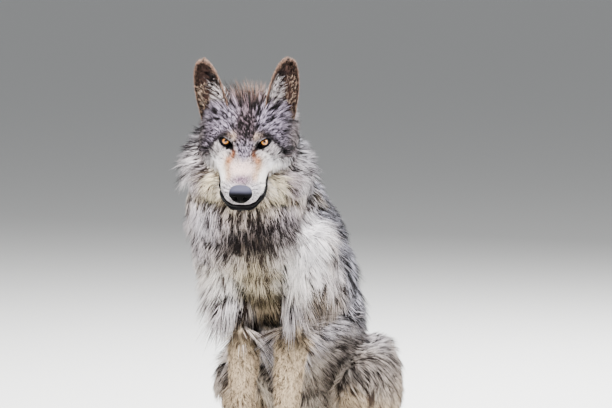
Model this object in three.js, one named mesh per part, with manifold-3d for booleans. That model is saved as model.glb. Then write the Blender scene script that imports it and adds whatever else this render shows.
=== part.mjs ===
// A timber wolf (grey wolf, Canis lupus) sitting on the floor, life size, as a museum's still model.
// Millimetres, +Z up. The wolf faces -Y and its left side is +X; the origin is on the floor, under the
// middle of the model's box. Each solid is one part of the animal out to the tips of its coat, and
// neighbouring parts keep a thin parting gap between them.
import * as THREE from "three";
import { ParametricGeometry } from "three/addons/geometries/ParametricGeometry.js";
import { mergeVertices } from "three/addons/utils/BufferGeometryUtils.js";
import Module from "manifold-3d";

// ---- Driving dimensions ----------------------------------------------------------------------------
const GAP = 0.35; // parting gap between neighbouring solids
const FACE_TURN = 12.5; // degrees that the head turns to the wolf's left
const FACE_DIP = 26; // degrees that the muzzle points below the horizontal
const FACE_LEAN = 1.5; // degrees that the head leans to the wolf's left
const EYES = [2, -270, 716]; // midpoint between the eyes, the origin of the head's own frame
const EYE_RADIUS = 12.5;
const EAR_LENGTH = 114; // notch to tip, coat included
const EAR_HALF_WIDTH = 36;
const FOREFOOT_LENGTH = 104;
const HINDFOOT_TOE_LENGTH = 88;
const TOE_SPACING = 19;
const CLAW_LENGTH = 21;
const CLAW_RADIUS = 4.6;
const TAIL_RADIUS = 50; // bushy part, coat included

const SIDES = { left: 1, right: -1 };
const X = new THREE.Vector3(1, 0, 0);
const Z = new THREE.Vector3(0, 0, 1);

// ---- Finishes --------------------------------------------------------------------------------------
const finish = (color, roughness) => new THREE.MeshStandardMaterial({ color, roughness, metalness: 0 });
const COAT = {
  grizzled: finish(0x77706c, 0.9), // grey with black tips: head, neck and flanks
  saddle: finish(0x4b4645, 0.9), // dark fur of the back and tail tip
  cream: finish(0xc9b9a0, 0.9), // muzzle sides, jaw and belly
  tawny: finish(0xa98c6d, 0.9), // legs and ears
};
const LEATHER = finish(0x1d1c20, 0.4);
const AMBER = finish(0xc88424, 0.1);
const HORN = finish(0x2c2623, 0.45);

// ---- Solids ----------------------------------------------------------------------------------------
const wasm = await Module();
wasm.setup();

/** A closed geometry as a solid that can be joined and cut. */
function solidOf(geometry) {
  geometry.deleteAttribute("normal");
  geometry.deleteAttribute("uv");
  const merged = mergeVertices(geometry, 1e-3);
  const index = merged.index.array;
  const triangles = [];
  for (let i = 0; i < index.length; i += 3) {
    const [a, b, c] = index.subarray(i, i + 3);
    if (a !== b && b !== c && c !== a) triangles.push(a, b, c);
  }
  const vertProperties = merged.attributes.position.array;
  const triVerts = new Uint32Array(triangles);
  return new wasm.Manifold(new wasm.Mesh({ numProp: 3, vertProperties, triVerts }));
}

/** A closed solid through rings: onRing(along, angle) is a point of the surface, along running from 0 to 1. */
function throughRings(onRing, rings, sides) {
  const surface = (u, v, target) => {
    const step = Math.round(u * (rings + 1));
    const along = (Math.min(Math.max(step, 1), rings) - 1) / (rings - 1);
    if (step > 0 && step <= rings) return target.copy(onRing(along, 2 * Math.PI * v));
    target.copy(onRing(along, 0)).add(onRing(along, Math.PI));
    return target.multiplyScalar(0.5);
  };
  return solidOf(new ParametricGeometry(surface, rings + 1, sides));
}

/** A ring of a loft: the place of its middle, its half width, and its reach to the top and to the underside. */
const ring = (at, wide, top, under = top) => ({ at: new THREE.Vector3(...at), wide, top, under });

/** The same rings on the wolf's other side. */
const mirrored = (rings, side) => rings.map((r) => ({ ...r, at: r.at.clone().multiply(new THREE.Vector3(side, 1, 1)) }));

/**
 * A limb or trunk lofted through rings, smooth from one to the next. Rings stand square to their path, with
 * their width along X, or level where `upright` is set; `squareness` over 2 fills out their corners, and
 * `ridge` draws in the upper half, by that share of its width at the very top.
 * `swell` makes the same form a little larger all over, for cutting its neighbours.
 */
function loft(rings, { steps, sides, swell = 0, squareness = 2.15, ridge = 0, upright = false }) {
  const path = new THREE.CatmullRomCurve3(rings.map((r) => r.at));
  const sizes = new THREE.CatmullRomCurve3(rings.map((r) => new THREE.Vector3(r.wide, r.top, r.under)));
  const power = (value) => Math.sign(value) * Math.abs(value) ** (2 / squareness);
  const onRing = (along, angle) => {
    const forward = path.getTangent(along);
    const level = upright ? Z.clone().cross(forward) : X.clone().addScaledVector(forward, -forward.x);
    const across = level.normalize();
    const up = forward.clone().cross(across);
    const size = sizes.getPoint(along);
    const rise = Math.cos(angle);
    const width = size.x * (1 - ridge * Math.max(rise, 0));
    const height = (rise > 0 ? size.y : size.z) + swell;
    const endShift = along === 0 ? -swell : along === 1 ? swell : 0;
    return path
      .getPoint(along)
      .addScaledVector(across, (width + swell) * power(Math.sin(angle)))
      .addScaledVector(up, height * power(rise))
      .addScaledVector(forward, endShift);
  };
  return throughRings(onRing, steps, sides);
}

/** An egg with three half sizes, swollen like a loft. */
function egg(at, halfSizes, swell = 0, [across, down] = [12, 8]) {
  const geometry = new THREE.SphereGeometry(1, across, down).rotateX(Math.PI / 2);
  geometry.scale(...halfSizes.map((half) => half + swell)).translate(...at);
  return solidOf(geometry);
}

// ---- Trunk and neck: one form from the seat up to the nape, parted across ---------------------------
const TRUNK_RINGS = [
  ring([0, 388, 88], 66, 38, 112),
  ring([0, 330, 140], 118, 96, 186), // seat bones, on the floor
  ring([0, 262, 214], 136, 128, 120), // hips
  ring([-3, 176, 318], 126, 128, 126), // loin
  ring([-5, 84, 424], 148, 146, 160), // last ribs
  ring([-27, -18, 524], 154, 164, 196), // shoulders and brisket
  ring([-33, -96, 620], 139, 148, 168), // root of the neck, with its ruff
  ring([-36, -138, 706], 122, 114, 130), // nape and throat
  ring([-28, -170, 776], 78, 48, 60),
];
const TRUNK_RIDGE = 0.34; // the back narrows upwards
const TRUNK_PARTS = [
  { name: "rump", coat: COAT.grizzled, from: 0, to: 0.3 },
  { name: "belly", coat: COAT.grizzled, from: 0.3, to: 0.5 },
  { name: "chest", coat: COAT.grizzled, from: 0.5, to: 0.725 },
  { name: "neck", coat: COAT.grizzled, from: 0.725, to: 1 },
];

/** The stretch of the trunk between two shares of its path, cut square to it. */
function trunkPart({ from, to }, swell) {
  const path = new THREE.CatmullRomCurve3(TRUNK_RINGS.map((r) => r.at));
  let part = loft(TRUNK_RINGS, { steps: 15, sides: 16, swell, ridge: TRUNK_RIDGE });
  const cut = (along, direction) => {
    const normal = path.getTangent(along).multiplyScalar(direction);
    part = part.trimByPlane(normal.toArray(), normal.dot(path.getPoint(along)) + GAP / 2 - swell);
  };
  if (from > 0) cut(from, 1);
  if (to < 1) cut(to, -1);
  return part;
}

// ---- Forelegs: shoulder and upper arm, forearm, and forefoot ----------------------------------------
const UPPER_ARM_RINGS = [
  ring([46, 20, 602], 24, 40),
  ring([58, -28, 560], 47, 80, 72),
  ring([90, -100, 500], 60, 94, 86), // point of the shoulder
  ring([78, -108, 420], 54, 68, 70),
  ring([56, -104, 360], 34, 40, 40), // elbow
];
const FOREARM_RINGS = [
  ring([54, -98, 384], 26, 30),
  ring([50, -108, 338], 39, 46, 50),
  ring([46, -126, 260], 33, 35, 41),
  ring([44, -138, 178], 27, 30, 33), // wrist
  ring([46, -146, 108], 25, 27, 29),
  ring([50, -154, 56], 29, 28, 34),
];
const FOREFOOT = { at: [56, -172, 0], length: FOREFOOT_LENGTH, turn: 7, halfWidth: 38, height: 52 };

// ---- Hind legs: thigh, shank and long hind foot -----------------------------------------------------
const THIGH_RINGS = [
  ring([64, 366, 156], 42, 58, 66),
  ring([92, 300, 178], 80, 126, 112), // hip
  ring([112, 210, 196], 74, 118, 90),
  ring([124, 120, 210], 62, 90, 66),
  ring([128, 64, 214], 42, 56, 44), // knee
  ring([128, 42, 212], 16, 22, 20),
];
const SHANK_RINGS = [
  ring([126, 62, 216], 26, 30),
  ring([126, 96, 190], 50, 54, 58),
  ring([124, 166, 138], 54, 66, 64),
  ring([120, 248, 92], 46, 56, 50),
  ring([118, 304, 56], 26, 30, 30), // hock
];
const HINDFOOT_RINGS = [
  ring([116, 310, 40], 16, 16, 20),
  ring([118, 282, 36], 28, 30, 40),
  ring([124, 200, 28], 26, 24, 32),
  ring([132, 124, 26], 30, 24, 30),
  ring([136, 86, 26], 34, 26, 30),
];
const HINDFOOT = { at: [139, 66, 0], length: HINDFOOT_TOE_LENGTH, turn: 6, halfWidth: 35, height: 46 };
const TOES = [-1.5, -0.5, 0.5, 1.5]; // places across the foot, in toe spacings
const INNER_TOE_LEAD = 13; // the two middle toes reach this much further forward

/** The frame of a foot: a place on the floor, and its own way forward, turned out a little. */
function footFrame(foot, side) {
  const turn = THREE.MathUtils.degToRad(foot.turn * side);
  const forward = new THREE.Vector3(Math.sin(turn), -Math.cos(turn), 0);
  const outward = new THREE.Vector3(Math.cos(turn), Math.sin(turn), 0).multiplyScalar(side);
  return (out, ahead, up) =>
    new THREE.Vector3(foot.at[0] * side, foot.at[1], up).addScaledVector(outward, out).addScaledVector(forward, ahead);
}

/** How far ahead of the foot's middle a toe's tip lies. */
const toeReach = (foot, place) => foot.length / 2 - (Math.abs(place) > 1 ? INNER_TOE_LEAD : 0);

/** The broad front of a foot with its four toes, on the floor. */
function foot(form, side, swell) {
  const place = footFrame(form, side);
  const body = [
    ring(place(0, -form.length * 0.5, 26).toArray(), 17, 12, 18),
    ring(place(0, -form.length * 0.34, 28).toArray(), form.halfWidth * 0.78, form.height * 0.5, 34),
    ring(place(0, 0, 24).toArray(), form.halfWidth, form.height * 0.42, 30),
    ring(place(0, form.length * 0.26, 17).toArray(), form.halfWidth * 0.76, 14, 22),
  ];
  const toe = (spot) => {
    const middle = place(spot * TOE_SPACING, toeReach(form, spot) - 21, 15);
    return egg(middle.toArray(), [11.5, 21, 17], swell, [6, 4]);
  };
  return TOES.reduce((whole, spot) => whole.add(toe(spot)), loft(body, { steps: 4, sides: 8, swell }));
}

/** A claw that curves down from a toe's tip. */
function claw(form, side, spot, swell) {
  const place = footFrame(form, side);
  const root = toeReach(form, spot) - 7;
  const out = spot * TOE_SPACING;
  const curve = [
    ring(place(out, root, 17).toArray(), CLAW_RADIUS * 0.8, CLAW_RADIUS),
    ring(place(out, root + CLAW_LENGTH * 0.5, 15).toArray(), CLAW_RADIUS * 0.66, CLAW_RADIUS * 0.85),
    ring(place(out, root + CLAW_LENGTH, 4.5).toArray(), 0.8, 1),
  ];
  return loft(curve, { steps: 3, sides: 5, swell });
}

/** The dewclaw on the inner side of the wrist. */
function dewclaw(side, swell) {
  const curve = [
    ring([27 * side, -158, 116], CLAW_RADIUS * 0.7, CLAW_RADIUS * 0.8),
    ring([21 * side, -172, 106], CLAW_RADIUS * 0.6, CLAW_RADIUS * 0.7),
    ring([20 * side, -178, 94], 0.8, 1),
  ];
  return loft(curve, { steps: 3, sides: 5, swell });
}

// ---- Tail: laid round the left haunch on the floor, in two lengths ----------------------------------
const TAIL_RINGS = [
  ring([0, 384, 112], 30, 30),
  ring([22, 432, 74], TAIL_RADIUS * 0.74, TAIL_RADIUS * 0.78),
  ring([96, 474, 48], TAIL_RADIUS * 0.9, TAIL_RADIUS * 0.9, TAIL_RADIUS),
  ring([186, 462, 45], TAIL_RADIUS, TAIL_RADIUS * 0.95, TAIL_RADIUS),
  ring([252, 396, 44], TAIL_RADIUS, TAIL_RADIUS * 0.95, TAIL_RADIUS),
  ring([280, 312, 42], TAIL_RADIUS * 0.92, TAIL_RADIUS * 0.85, TAIL_RADIUS * 0.9),
  ring([286, 236, 34], TAIL_RADIUS * 0.62, TAIL_RADIUS * 0.58, TAIL_RADIUS * 0.7),
  ring([284, 196, 26], 8, 8, 8),
];
const TAIL_PARTING = [SIDES.left * 150, 468, 46]; // where the two lengths meet

/** One length of the tail: the root half where `towards` is -1, the tip half where it is 1. */
function tailPart(towards, swell) {
  const normal = [towards, 0, 0];
  const whole = loft(TAIL_RINGS, { steps: 11, sides: 10, swell, upright: true });
  return whole.trimByPlane(normal, towards * TAIL_PARTING[0] + GAP / 2 - swell);
}

// ---- Head: its own frame has its origin between the eyes, the muzzle towards -Y and the crown up ----
const HEAD_RINGS = [
  ring([0, 178, -30], 54, 52, 44),
  ring([0, 150, -40], 92, 90, 76),
  ring([0, 120, -50], 110, 118, 92), // cheek ruff
  ring([0, 88, -50], 115, 130, 94),
  ring([0, 58, -45], 108, 117, 86), // crown, between the ears
  ring([0, 30, -40], 92, 90, 73),
  ring([0, 6, -36], 74, 63, 56), // brow, over the eyes
  ring([0, -16, -37], 61, 46, 43),
  ring([0, -38, -40], 49, 33, 37), // foot of the brow
  ring([0, -67, -43], 43, 29, 35),
  ring([0, -96, -45], 38, 25, 34), // muzzle at the canines
  ring([0, -115, -47], 32, 21, 31),
  ring([0, -127, -48], 21, 14, 18),
];
const MUZZLE_PARTING = -26; // the muzzle begins this far behind the origin's plane, along Y
const JAW_RINGS = [
  ring([0, 56, -93], 46, 30, 22),
  ring([0, 16, -87], 46, 28, 19),
  ring([0, -24, -80], 44, 25, 18),
  ring([0, -63, -79], 37, 23, 17),
  ring([0, -92, -78], 31, 19, 17),
  ring([0, -109, -77], 20, 12, 16), // chin
];
const FLEWS = [ // the full upper lips, either side of the muzzle
  { at: [33, -58, -66], halfSizes: [17.5, 36, 18] },
  { at: [19, -90, -64], halfSizes: [17, 25, 16.5] },
];
const NOSE = { at: [0, -121, -45.5], halfSizes: [22.5, 15, 18] };
const NOSTRIL = { at: [10, -135, -46.5], halfSizes: [4.2, 5, 3.6] };
const EYE_AT = [37, 7, -3];
const EYE_OPENING = { at: [39.5, -9, -1], halfSizes: [14, 13, 9] };
const EAR_BASE = [62, 68, 22];
const EAR_SPLAY = { left: [0.15, 0.17, 1], right: [0.2, 0.02, 1] }; // direction from base to tip
const EAR_FACING = [0.34, -0.94, 0.1]; // direction that the ear's hollow looks to
const EAR_HOLLOW = 21; // depth of the hollow at the ear's base
const EAR_THICKNESS = 4.2; // half of the ear's wall, coat included

const bothSides = (at, side) => [at[0] * side, at[1], at[2]];

function headForm(swell) {
  return loft(HEAD_RINGS, { steps: 17, sides: 18, swell });
}

/** Cranium and cheeks, with the openings in which the eyes sit. */
function cranium(swell) {
  const whole = headForm(swell).trimByPlane([0, 1, 0], MUZZLE_PARTING + GAP / 2 - swell);
  if (swell) return whole;
  return Object.values(SIDES).reduce(
    (head, side) => head.subtract(egg(bothSides(EYE_OPENING.at, side), EYE_OPENING.halfSizes, 0, [10, 6])),
    whole,
  );
}

/** Muzzle, with its flews. */
function muzzle(swell) {
  const flews = FLEWS.flatMap(({ at, halfSizes }) =>
    Object.values(SIDES).map((side) => egg(bothSides(at, side), halfSizes, swell, [8, 5])),
  );
  const whole = flews.reduce((form, flew) => form.add(flew), headForm(swell));
  return whole.trimByPlane([0, -1, 0], -MUZZLE_PARTING + GAP / 2 - swell);
}

const lowerJaw = (swell) => loft(JAW_RINGS, { steps: 5, sides: 10, swell });

/** The nose leather, with its two nostrils. */
function nose(swell) {
  const pad = egg(NOSE.at, NOSE.halfSizes, swell, [12, 7]);
  if (swell) return pad;
  return Object.values(SIDES).reduce(
    (leather, side) => leather.subtract(egg(bothSides(NOSTRIL.at, side), NOSTRIL.halfSizes, 0, [6, 4])),
    pad,
  );
}

const eye = (side, swell) => egg(bothSides(EYE_AT, side), [1, 1, 1].map(() => EYE_RADIUS), swell, [10, 6]);

/** An ear: a wall bent into a hollow that opens forwards, wide at its base and rounded at its tip. */
function ear(side, swell) {
  const splay = side > 0 ? EAR_SPLAY.left : EAR_SPLAY.right;
  const upwards = new THREE.Vector3(...bothSides(splay, side)).normalize();
  const facing = new THREE.Vector3(...bothSides(EAR_FACING, side));
  facing.addScaledVector(upwards, -facing.dot(upwards)).normalize();
  const across = upwards.clone().cross(facing);
  const base = new THREE.Vector3(...bothSides(EAR_BASE, side));
  const onRing = (share, angle) => {
    const along = 1 - (1 - share) ** 1.4; // rings draw together towards the rounded tip
    const halfWidth = EAR_HALF_WIDTH * (1 - along) ** 0.47 * (1 + 0.4 * along) + 1.5 + swell;
    const place = Math.cos(angle);
    const bend = -EAR_HOLLOW * (1 - 0.75 * along) * (1 - place ** 2);
    const wall = (EAR_THICKNESS * (1 - 0.4 * along) + swell) * Math.sin(angle);
    return base
      .clone()
      .addScaledVector(upwards, EAR_LENGTH * along + (share === 1 ? swell : 0))
      .addScaledVector(across, halfWidth * place)
      .addScaledVector(facing, bend + wall);
  };
  return throughRings(onRing, 8, 12);
}

// ---- Assembly --------------------------------------------------------------------------------------
/**
 * Parts in the order in which they keep their full form: each later part gives way to the ones before it.
 * A part is its name, its finish, and its form as a function of how much it is swollen.
 */
const headParts = [["nose", LEATHER, nose]];
const bodyParts = [];
for (const [name, side] of Object.entries(SIDES)) {
  headParts.push([`eye_${name}`, AMBER, (swell) => eye(side, swell)]);
}
headParts.push(["head", COAT.grizzled, cranium], ["muzzle", COAT.cream, muzzle], ["lower_jaw", COAT.cream, lowerJaw]);
for (const [name, side] of Object.entries(SIDES)) {
  headParts.push([`ear_${name}`, COAT.tawny, (swell) => ear(side, swell)]);
  TOES.forEach((spot, toe) => {
    bodyParts.push([`claw_fore_${name}_${toe + 1}`, HORN, (swell) => claw(FOREFOOT, side, spot, swell)]);
    bodyParts.push([`claw_hind_${name}_${toe + 1}`, HORN, (swell) => claw(HINDFOOT, side, spot, swell)]);
  });
  bodyParts.push([`dewclaw_${name}`, HORN, (swell) => dewclaw(side, swell)]);
  const leg = (rings, steps, sides) => (swell) => loft(mirrored(rings, side), { steps, sides, swell });
  bodyParts.push([`forefoot_${name}`, COAT.tawny, (swell) => foot(FOREFOOT, side, swell)]);
  bodyParts.push([`forearm_${name}`, COAT.tawny, leg(FOREARM_RINGS, 6, 10)]);
  bodyParts.push([`upper_arm_${name}`, COAT.grizzled, leg(UPPER_ARM_RINGS, 7, 12)]);
  const hindfoot = (swell) => foot(HINDFOOT, side, swell).add(leg(HINDFOOT_RINGS, 5, 8)(swell));
  bodyParts.push([`hindfoot_${name}`, COAT.tawny, hindfoot]);
  bodyParts.push([`thigh_${name}`, COAT.grizzled, leg(THIGH_RINGS, 8, 12)]);
  bodyParts.push([`shank_${name}`, COAT.tawny, leg(SHANK_RINGS, 5, 10)]);
}
for (const part of TRUNK_PARTS) bodyParts.push([part.name, part.coat, (swell) => trunkPart(part, swell)]);
bodyParts.push(["tail_root", COAT.grizzled, (swell) => tailPart(-1, swell)]);
bodyParts.push(["tail_end", COAT.saddle, (swell) => tailPart(1, swell)]);

const near = (a, b) => [0, 1, 2].every((i) => a.min[i] < b.max[i] && b.min[i] < a.max[i]);
const largest = (solid) => solid.decompose().reduce((a, b) => (a.volume() > b.volume() ? a : b));

/** Cuts each part by the swollen forms before it, and by the tools given, and makes its mesh. */
function parted(parts, tools, finished) {
  const before = [...tools];
  return parts.map(([name, material, form]) => {
    let solid = form(0);
    for (const tool of before) {
      if (near(solid.boundingBox(), tool.boundingBox())) solid = solid.subtract(tool);
    }
    before.push(form(GAP));
    const { vertProperties, triVerts } = largest(finished(solid)).getMesh();
    const geometry = new THREE.BufferGeometry();
    geometry.setAttribute("position", new THREE.BufferAttribute(vertProperties, 3));
    geometry.setIndex(new THREE.BufferAttribute(triVerts, 1));
    geometry.computeVertexNormals();
    const mesh = new THREE.Mesh(geometry, material);
    mesh.name = name;
    return mesh;
  });
}

const head = new THREE.Group();
const radians = [FACE_DIP, FACE_LEAN, FACE_TURN].map((angle) => THREE.MathUtils.degToRad(angle));
head.position.set(...EYES);
head.rotation.set(...radians, "ZXY");
head.add(...parted(headParts, [], (solid) => solid));
head.updateMatrix();

const onFloor = (solid) => solid.trimByPlane([0, 0, 1], 0);
const headTools = headParts.map(([, , form]) => form(GAP).transform(head.matrix.elements));
const body = new THREE.Group();
body.add(head, ...parted(bodyParts, headTools, onFloor));

const wolf = new THREE.Group();
wolf.add(body);
const box = new THREE.Box3().setFromObject(wolf, true);
body.position.set(-(box.min.x + box.max.x) / 2, -(box.min.y + box.max.y) / 2, 0);

export default wolf;
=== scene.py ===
import heapq

import bmesh
import bpy
import numpy as np
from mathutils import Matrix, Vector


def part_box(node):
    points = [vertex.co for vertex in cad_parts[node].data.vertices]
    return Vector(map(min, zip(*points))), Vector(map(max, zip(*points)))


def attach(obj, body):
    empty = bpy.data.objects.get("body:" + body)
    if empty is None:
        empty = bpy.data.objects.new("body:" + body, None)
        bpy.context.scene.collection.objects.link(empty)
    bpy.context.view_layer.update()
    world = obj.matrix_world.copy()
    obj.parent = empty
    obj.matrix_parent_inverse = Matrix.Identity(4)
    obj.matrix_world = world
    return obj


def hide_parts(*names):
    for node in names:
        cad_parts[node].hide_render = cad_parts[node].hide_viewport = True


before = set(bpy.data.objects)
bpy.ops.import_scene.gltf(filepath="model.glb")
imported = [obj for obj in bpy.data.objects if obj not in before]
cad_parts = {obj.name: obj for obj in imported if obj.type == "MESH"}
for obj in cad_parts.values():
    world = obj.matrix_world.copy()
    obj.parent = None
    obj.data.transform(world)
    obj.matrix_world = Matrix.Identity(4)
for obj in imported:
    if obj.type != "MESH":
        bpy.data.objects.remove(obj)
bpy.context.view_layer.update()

import openvdb
from mathutils import Euler, Matrix, Vector
from mathutils.bvhtree import BVHTree
from mathutils.kdtree import KDTree


# ---- Head's axes --------------------------------------------------------------------------------------
# The head is turned and dipped on the neck, and has its own axes: its origin lies between the eyes, +X is
# the wolf's left, -Y is along the muzzle and +Z is the crown. The face is set out on them in millimetres.
FACE_TURN, FACE_DIP, FACE_LEAN = 12.5, 26.0, 1.5  # degrees
EYE_CENTRE = Vector((37.0, 7.0, -3.0))  # the left eyeball's middle

eye_left, eye_right = [sum(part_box(node), Vector()) / 2 for node in ("eye_left", "eye_right")]
head_turned = Euler(np.radians([FACE_DIP, FACE_LEAN, FACE_TURN]), "YXZ").to_matrix()
between_eyes = (eye_left + eye_right) / 2 - head_turned @ (Vector((0, EYE_CENTRE.y, EYE_CENTRE.z)) / 1000)


def on_head(*place):
    """A place given in millimetres on the head's axes, in the wolf's frame."""
    return between_eyes + head_turned @ (Vector(place) / 1000)


# ---- Hide ---------------------------------------------------------------------------------------------
# The wolf's skin, one closed surface from the lips to the tip of the tail, with the ears let into it. It
# is drawn over the flesh solids, evened out, and sunk by the depth of the coat at each place, as a real
# hide lies under its hair. Then the toes, the face and the lids are worked in it.
FLESH = [
    "head", "muzzle", "lower_jaw", "neck", "chest", "belly", "rump", "tail_root", "tail_end",
    "upper_arm_left", "upper_arm_right", "forearm_left", "forearm_right", "forefoot_left",
    "forefoot_right", "thigh_left", "thigh_right", "shank_left", "shank_right", "hindfoot_left",
    "hindfoot_right",
]
HIDE_MESH = 0.0042  # spacing of the hide's points before the face is made finer
DEPTH_MESH = 0.0136  # spacing of the coarse grid that the coat's depth is read on
DEEPEST = 0.054  # most that the hide can lie under the coat's outside
COAT_DEPTH = {  # how deep the coat is over each part
    "head": 0.009, "muzzle": 0.0032, "lower_jaw": 0.0045, "neck": 0.034, "chest": 0.032,
    "belly": 0.026, "rump": 0.024, "tail_root": 0.020, "tail_end": 0.022, "upper_arm": 0.020,
    "forearm": 0.0075, "forefoot": 0.006, "thigh": 0.020, "shank": 0.012, "hindfoot": 0.006,
}
BRIDGED = {  # how far parts are swollen to grow into each other; the hide is sunk by as much again
    "head": 0.003, "neck": 0.008, "chest": 0.008, "belly": 0.008, "rump": 0.008, "upper_arm": 0.006,
    "thigh": 0.006, "tail_root": 0.004,
}
TOUCHING = 0.0006  # how far the other parts are swollen, to close the gaps between solids
FILLINGS = [  # what closes the eyes' openings and the nose's seat until they are worked: centre, half sizes
    ((38, 1, -4), (15, 11, 11)), ((-38, 1, -4), (15, 11, 11)), ((0, -113, -45), (17, 13, 14)),
]


def part_of(node):
    """The kind of part that a node is, whichever side it is on."""
    return node.replace("_left", "").replace("_right", "")


def flesh_form():
    """All the flesh solids as one list of corners, triangles and owners, each solid swollen a little."""
    corners, triangles, owners = [], [], []

    def add(form, owner, swell):
        bmesh.ops.remove_doubles(form, verts=form.verts, dist=1e-6)
        form.normal_update()
        start = len(corners)
        corners.extend(v.co + v.normal * swell for v in form.verts)
        triangles.extend([v.index + start for v in face.verts] for face in form.faces)
        owners.extend([owner] * len(form.faces))
        form.free()

    for owner, node in enumerate(FLESH):
        form = bmesh.new()
        form.from_mesh(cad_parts[node].data)
        add(form, owner, BRIDGED.get(part_of(node), TOUCHING))
    for centre, halves in FILLINGS:
        form = bmesh.new()
        bmesh.ops.create_icosphere(form, subdivisions=3, radius=0.001)
        turned = head_turned.to_4x4() @ Matrix.Diagonal((*halves, 1))
        form.transform(Matrix.Translation(on_head(*centre)) @ turned)
        add(form, 0 if centre[0] else 1, 0)
    return corners, triangles, owners


def sculpted(mesh, modifier, **settings):
    """The mesh after one modifier, as a new mesh."""
    block = bpy.data.objects.new("block", mesh)
    bpy.context.collection.objects.link(block)
    tool = block.modifiers.new("tool", modifier)
    for name, value in settings.items():
        setattr(tool, name, value)
    depsgraph = bpy.context.evaluated_depsgraph_get()
    shaped = bpy.data.meshes.new_from_object(block.evaluated_get(depsgraph))
    bpy.data.objects.remove(block)
    return shaped


def points_of(mesh):
    """The mesh's points, as a table."""
    co = np.empty(len(mesh.vertices) * 3, np.float32)
    mesh.vertices.foreach_get("co", co)
    return co.reshape(-1, 3).astype(float)


def edges_of(mesh):
    """The two ends of each of the mesh's edges."""
    ends = np.empty(len(mesh.edges) * 2, np.int32)
    mesh.edges.foreach_get("vertices", ends)
    return ends.reshape(-1, 2)


def normals_of(mesh):
    """The way out of the surface at each of the mesh's points."""
    normals = np.empty(len(mesh.vertices) * 3, np.float32)
    mesh.vertex_normals.foreach_get("vector", normals)
    return normals.reshape(-1, 3).astype(float)


def move_points(mesh, points):
    """Give the mesh's points new places."""
    mesh.vertices.foreach_set("co", points.astype(np.float32).ravel())
    mesh.update()


def evened(values, edges, rounds, share=0.5):
    """Values at a mesh's points, each drawn `rounds` times towards the mean of its neighbours."""
    values = np.array(values, float)
    table = values.reshape(len(values), -1)
    ends, others = np.r_[edges[:, 0], edges[:, 1]], np.r_[edges[:, 1], edges[:, 0]]
    count = np.maximum(np.bincount(ends, minlength=len(table)), 1)
    share = np.broadcast_to(share, len(table))[:, None]
    for _ in range(rounds):
        around = [np.bincount(ends, column[others], len(table)) / count for column in table.T]
        table = table + share * (np.stack(around, 1) - table)
    return table.reshape(values.shape)


def planed(points, edges, rounds):
    """Points with their facets and steps evened away, while the form keeps its size."""
    for _ in range(rounds):
        points = evened(points, edges, 1, 0.5)
        points = evened(points, edges, 1, -0.53)
    return points


def ramp(value, low, high):
    """0 below `low`, 1 above `high`, smooth between."""
    share = np.clip((value - low) / (high - low), 0, 1)
    return share * share * (3 - 2 * share)


def spot(places, centre, halves):
    """1 at a centre, fading to 0 about one and a half half sizes away."""
    away = ((places - np.array(centre)) / np.array(halves)) ** 2
    return np.exp(-1.2 * away.sum(1))


def seen_from_head(places):
    """Places in the wolf's frame, in millimetres on the head's axes."""
    return (places - np.array(between_eyes)) @ np.array(head_turned) * 1000


def blurred(block, rounds):
    """A block of values, each drawn towards its neighbours along all three axes."""
    for _ in range(rounds):
        for axis in range(3):
            padded = np.concatenate([block.take([0], axis), block, block.take([-1], axis)], axis)
            padded = np.moveaxis(padded, axis, 0)
            before, here, after = padded[:-2], padded[1:-1], padded[2:]
            block = np.moveaxis(0.25 * before + 0.5 * here + 0.25 * after, 0, axis)
    return block


corners, triangles, owners = flesh_form()
union = bpy.data.meshes.new("union")
union.from_pydata(corners, [], triangles)
union = sculpted(union, "REMESH", mode="VOXEL", voxel_size=HIDE_MESH)
outline = planed(points_of(union), edges_of(union), 24)
quads = np.empty(len(union.loops), np.int32)
union.loops.foreach_get("vertex_index", quads)

# The coat's depth over the room, read on a coarse grid: deepest in the ruff, short on the face.
kinds = np.array([part_of(node) for node in FLESH])
solids_tree = BVHTree.FromPolygons(corners, triangles)
low, high = outline.min(0) - 0.03, outline.max(0) + 0.03
counts = np.ceil((high - low) / DEPTH_MESH).astype(int) + 1
cells = np.stack(np.meshgrid(*[np.arange(n) for n in counts], indexing="ij"), -1).reshape(-1, 3)
cells = low + cells * DEPTH_MESH


def solids_near(places):
    """The kind of part that each place belongs to, and how far the place is from that part's outside."""
    nearest = [solids_tree.find_nearest(Vector(p))[2:] for p in places]
    kind = kinds[[owners[face] for face, _ in nearest]]
    swollen = np.array([BRIDGED.get(name, TOUCHING) for name in kind])
    return kind, np.array([far for _, far in nearest]) - swollen


def coat_depth(places, kind):
    """How deep the coat lies at each place, in metres."""
    _, ahead, above = seen_from_head(places).T
    on_face = np.isin(kind, ["head", "muzzle", "lower_jaw"])
    ruff = on_face * ramp(ahead, 12, 95) * (0.35 + 0.65 * ramp(-above, -30, 40))
    short = on_face * (1 - ramp(ahead, -30, 25))
    deep = np.array([COAT_DEPTH[name] for name in kind]) + 0.012 * ruff
    return np.maximum(deep, 0.0032) * (1 - 0.25 * short)


cell_kinds = solids_near(cells)[0]
swelling = np.array([BRIDGED.get(name, TOUCHING) for name in cell_kinds])
sunk = blurred((coat_depth(cells, cell_kinds) + swelling).reshape(counts), 2)

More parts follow.
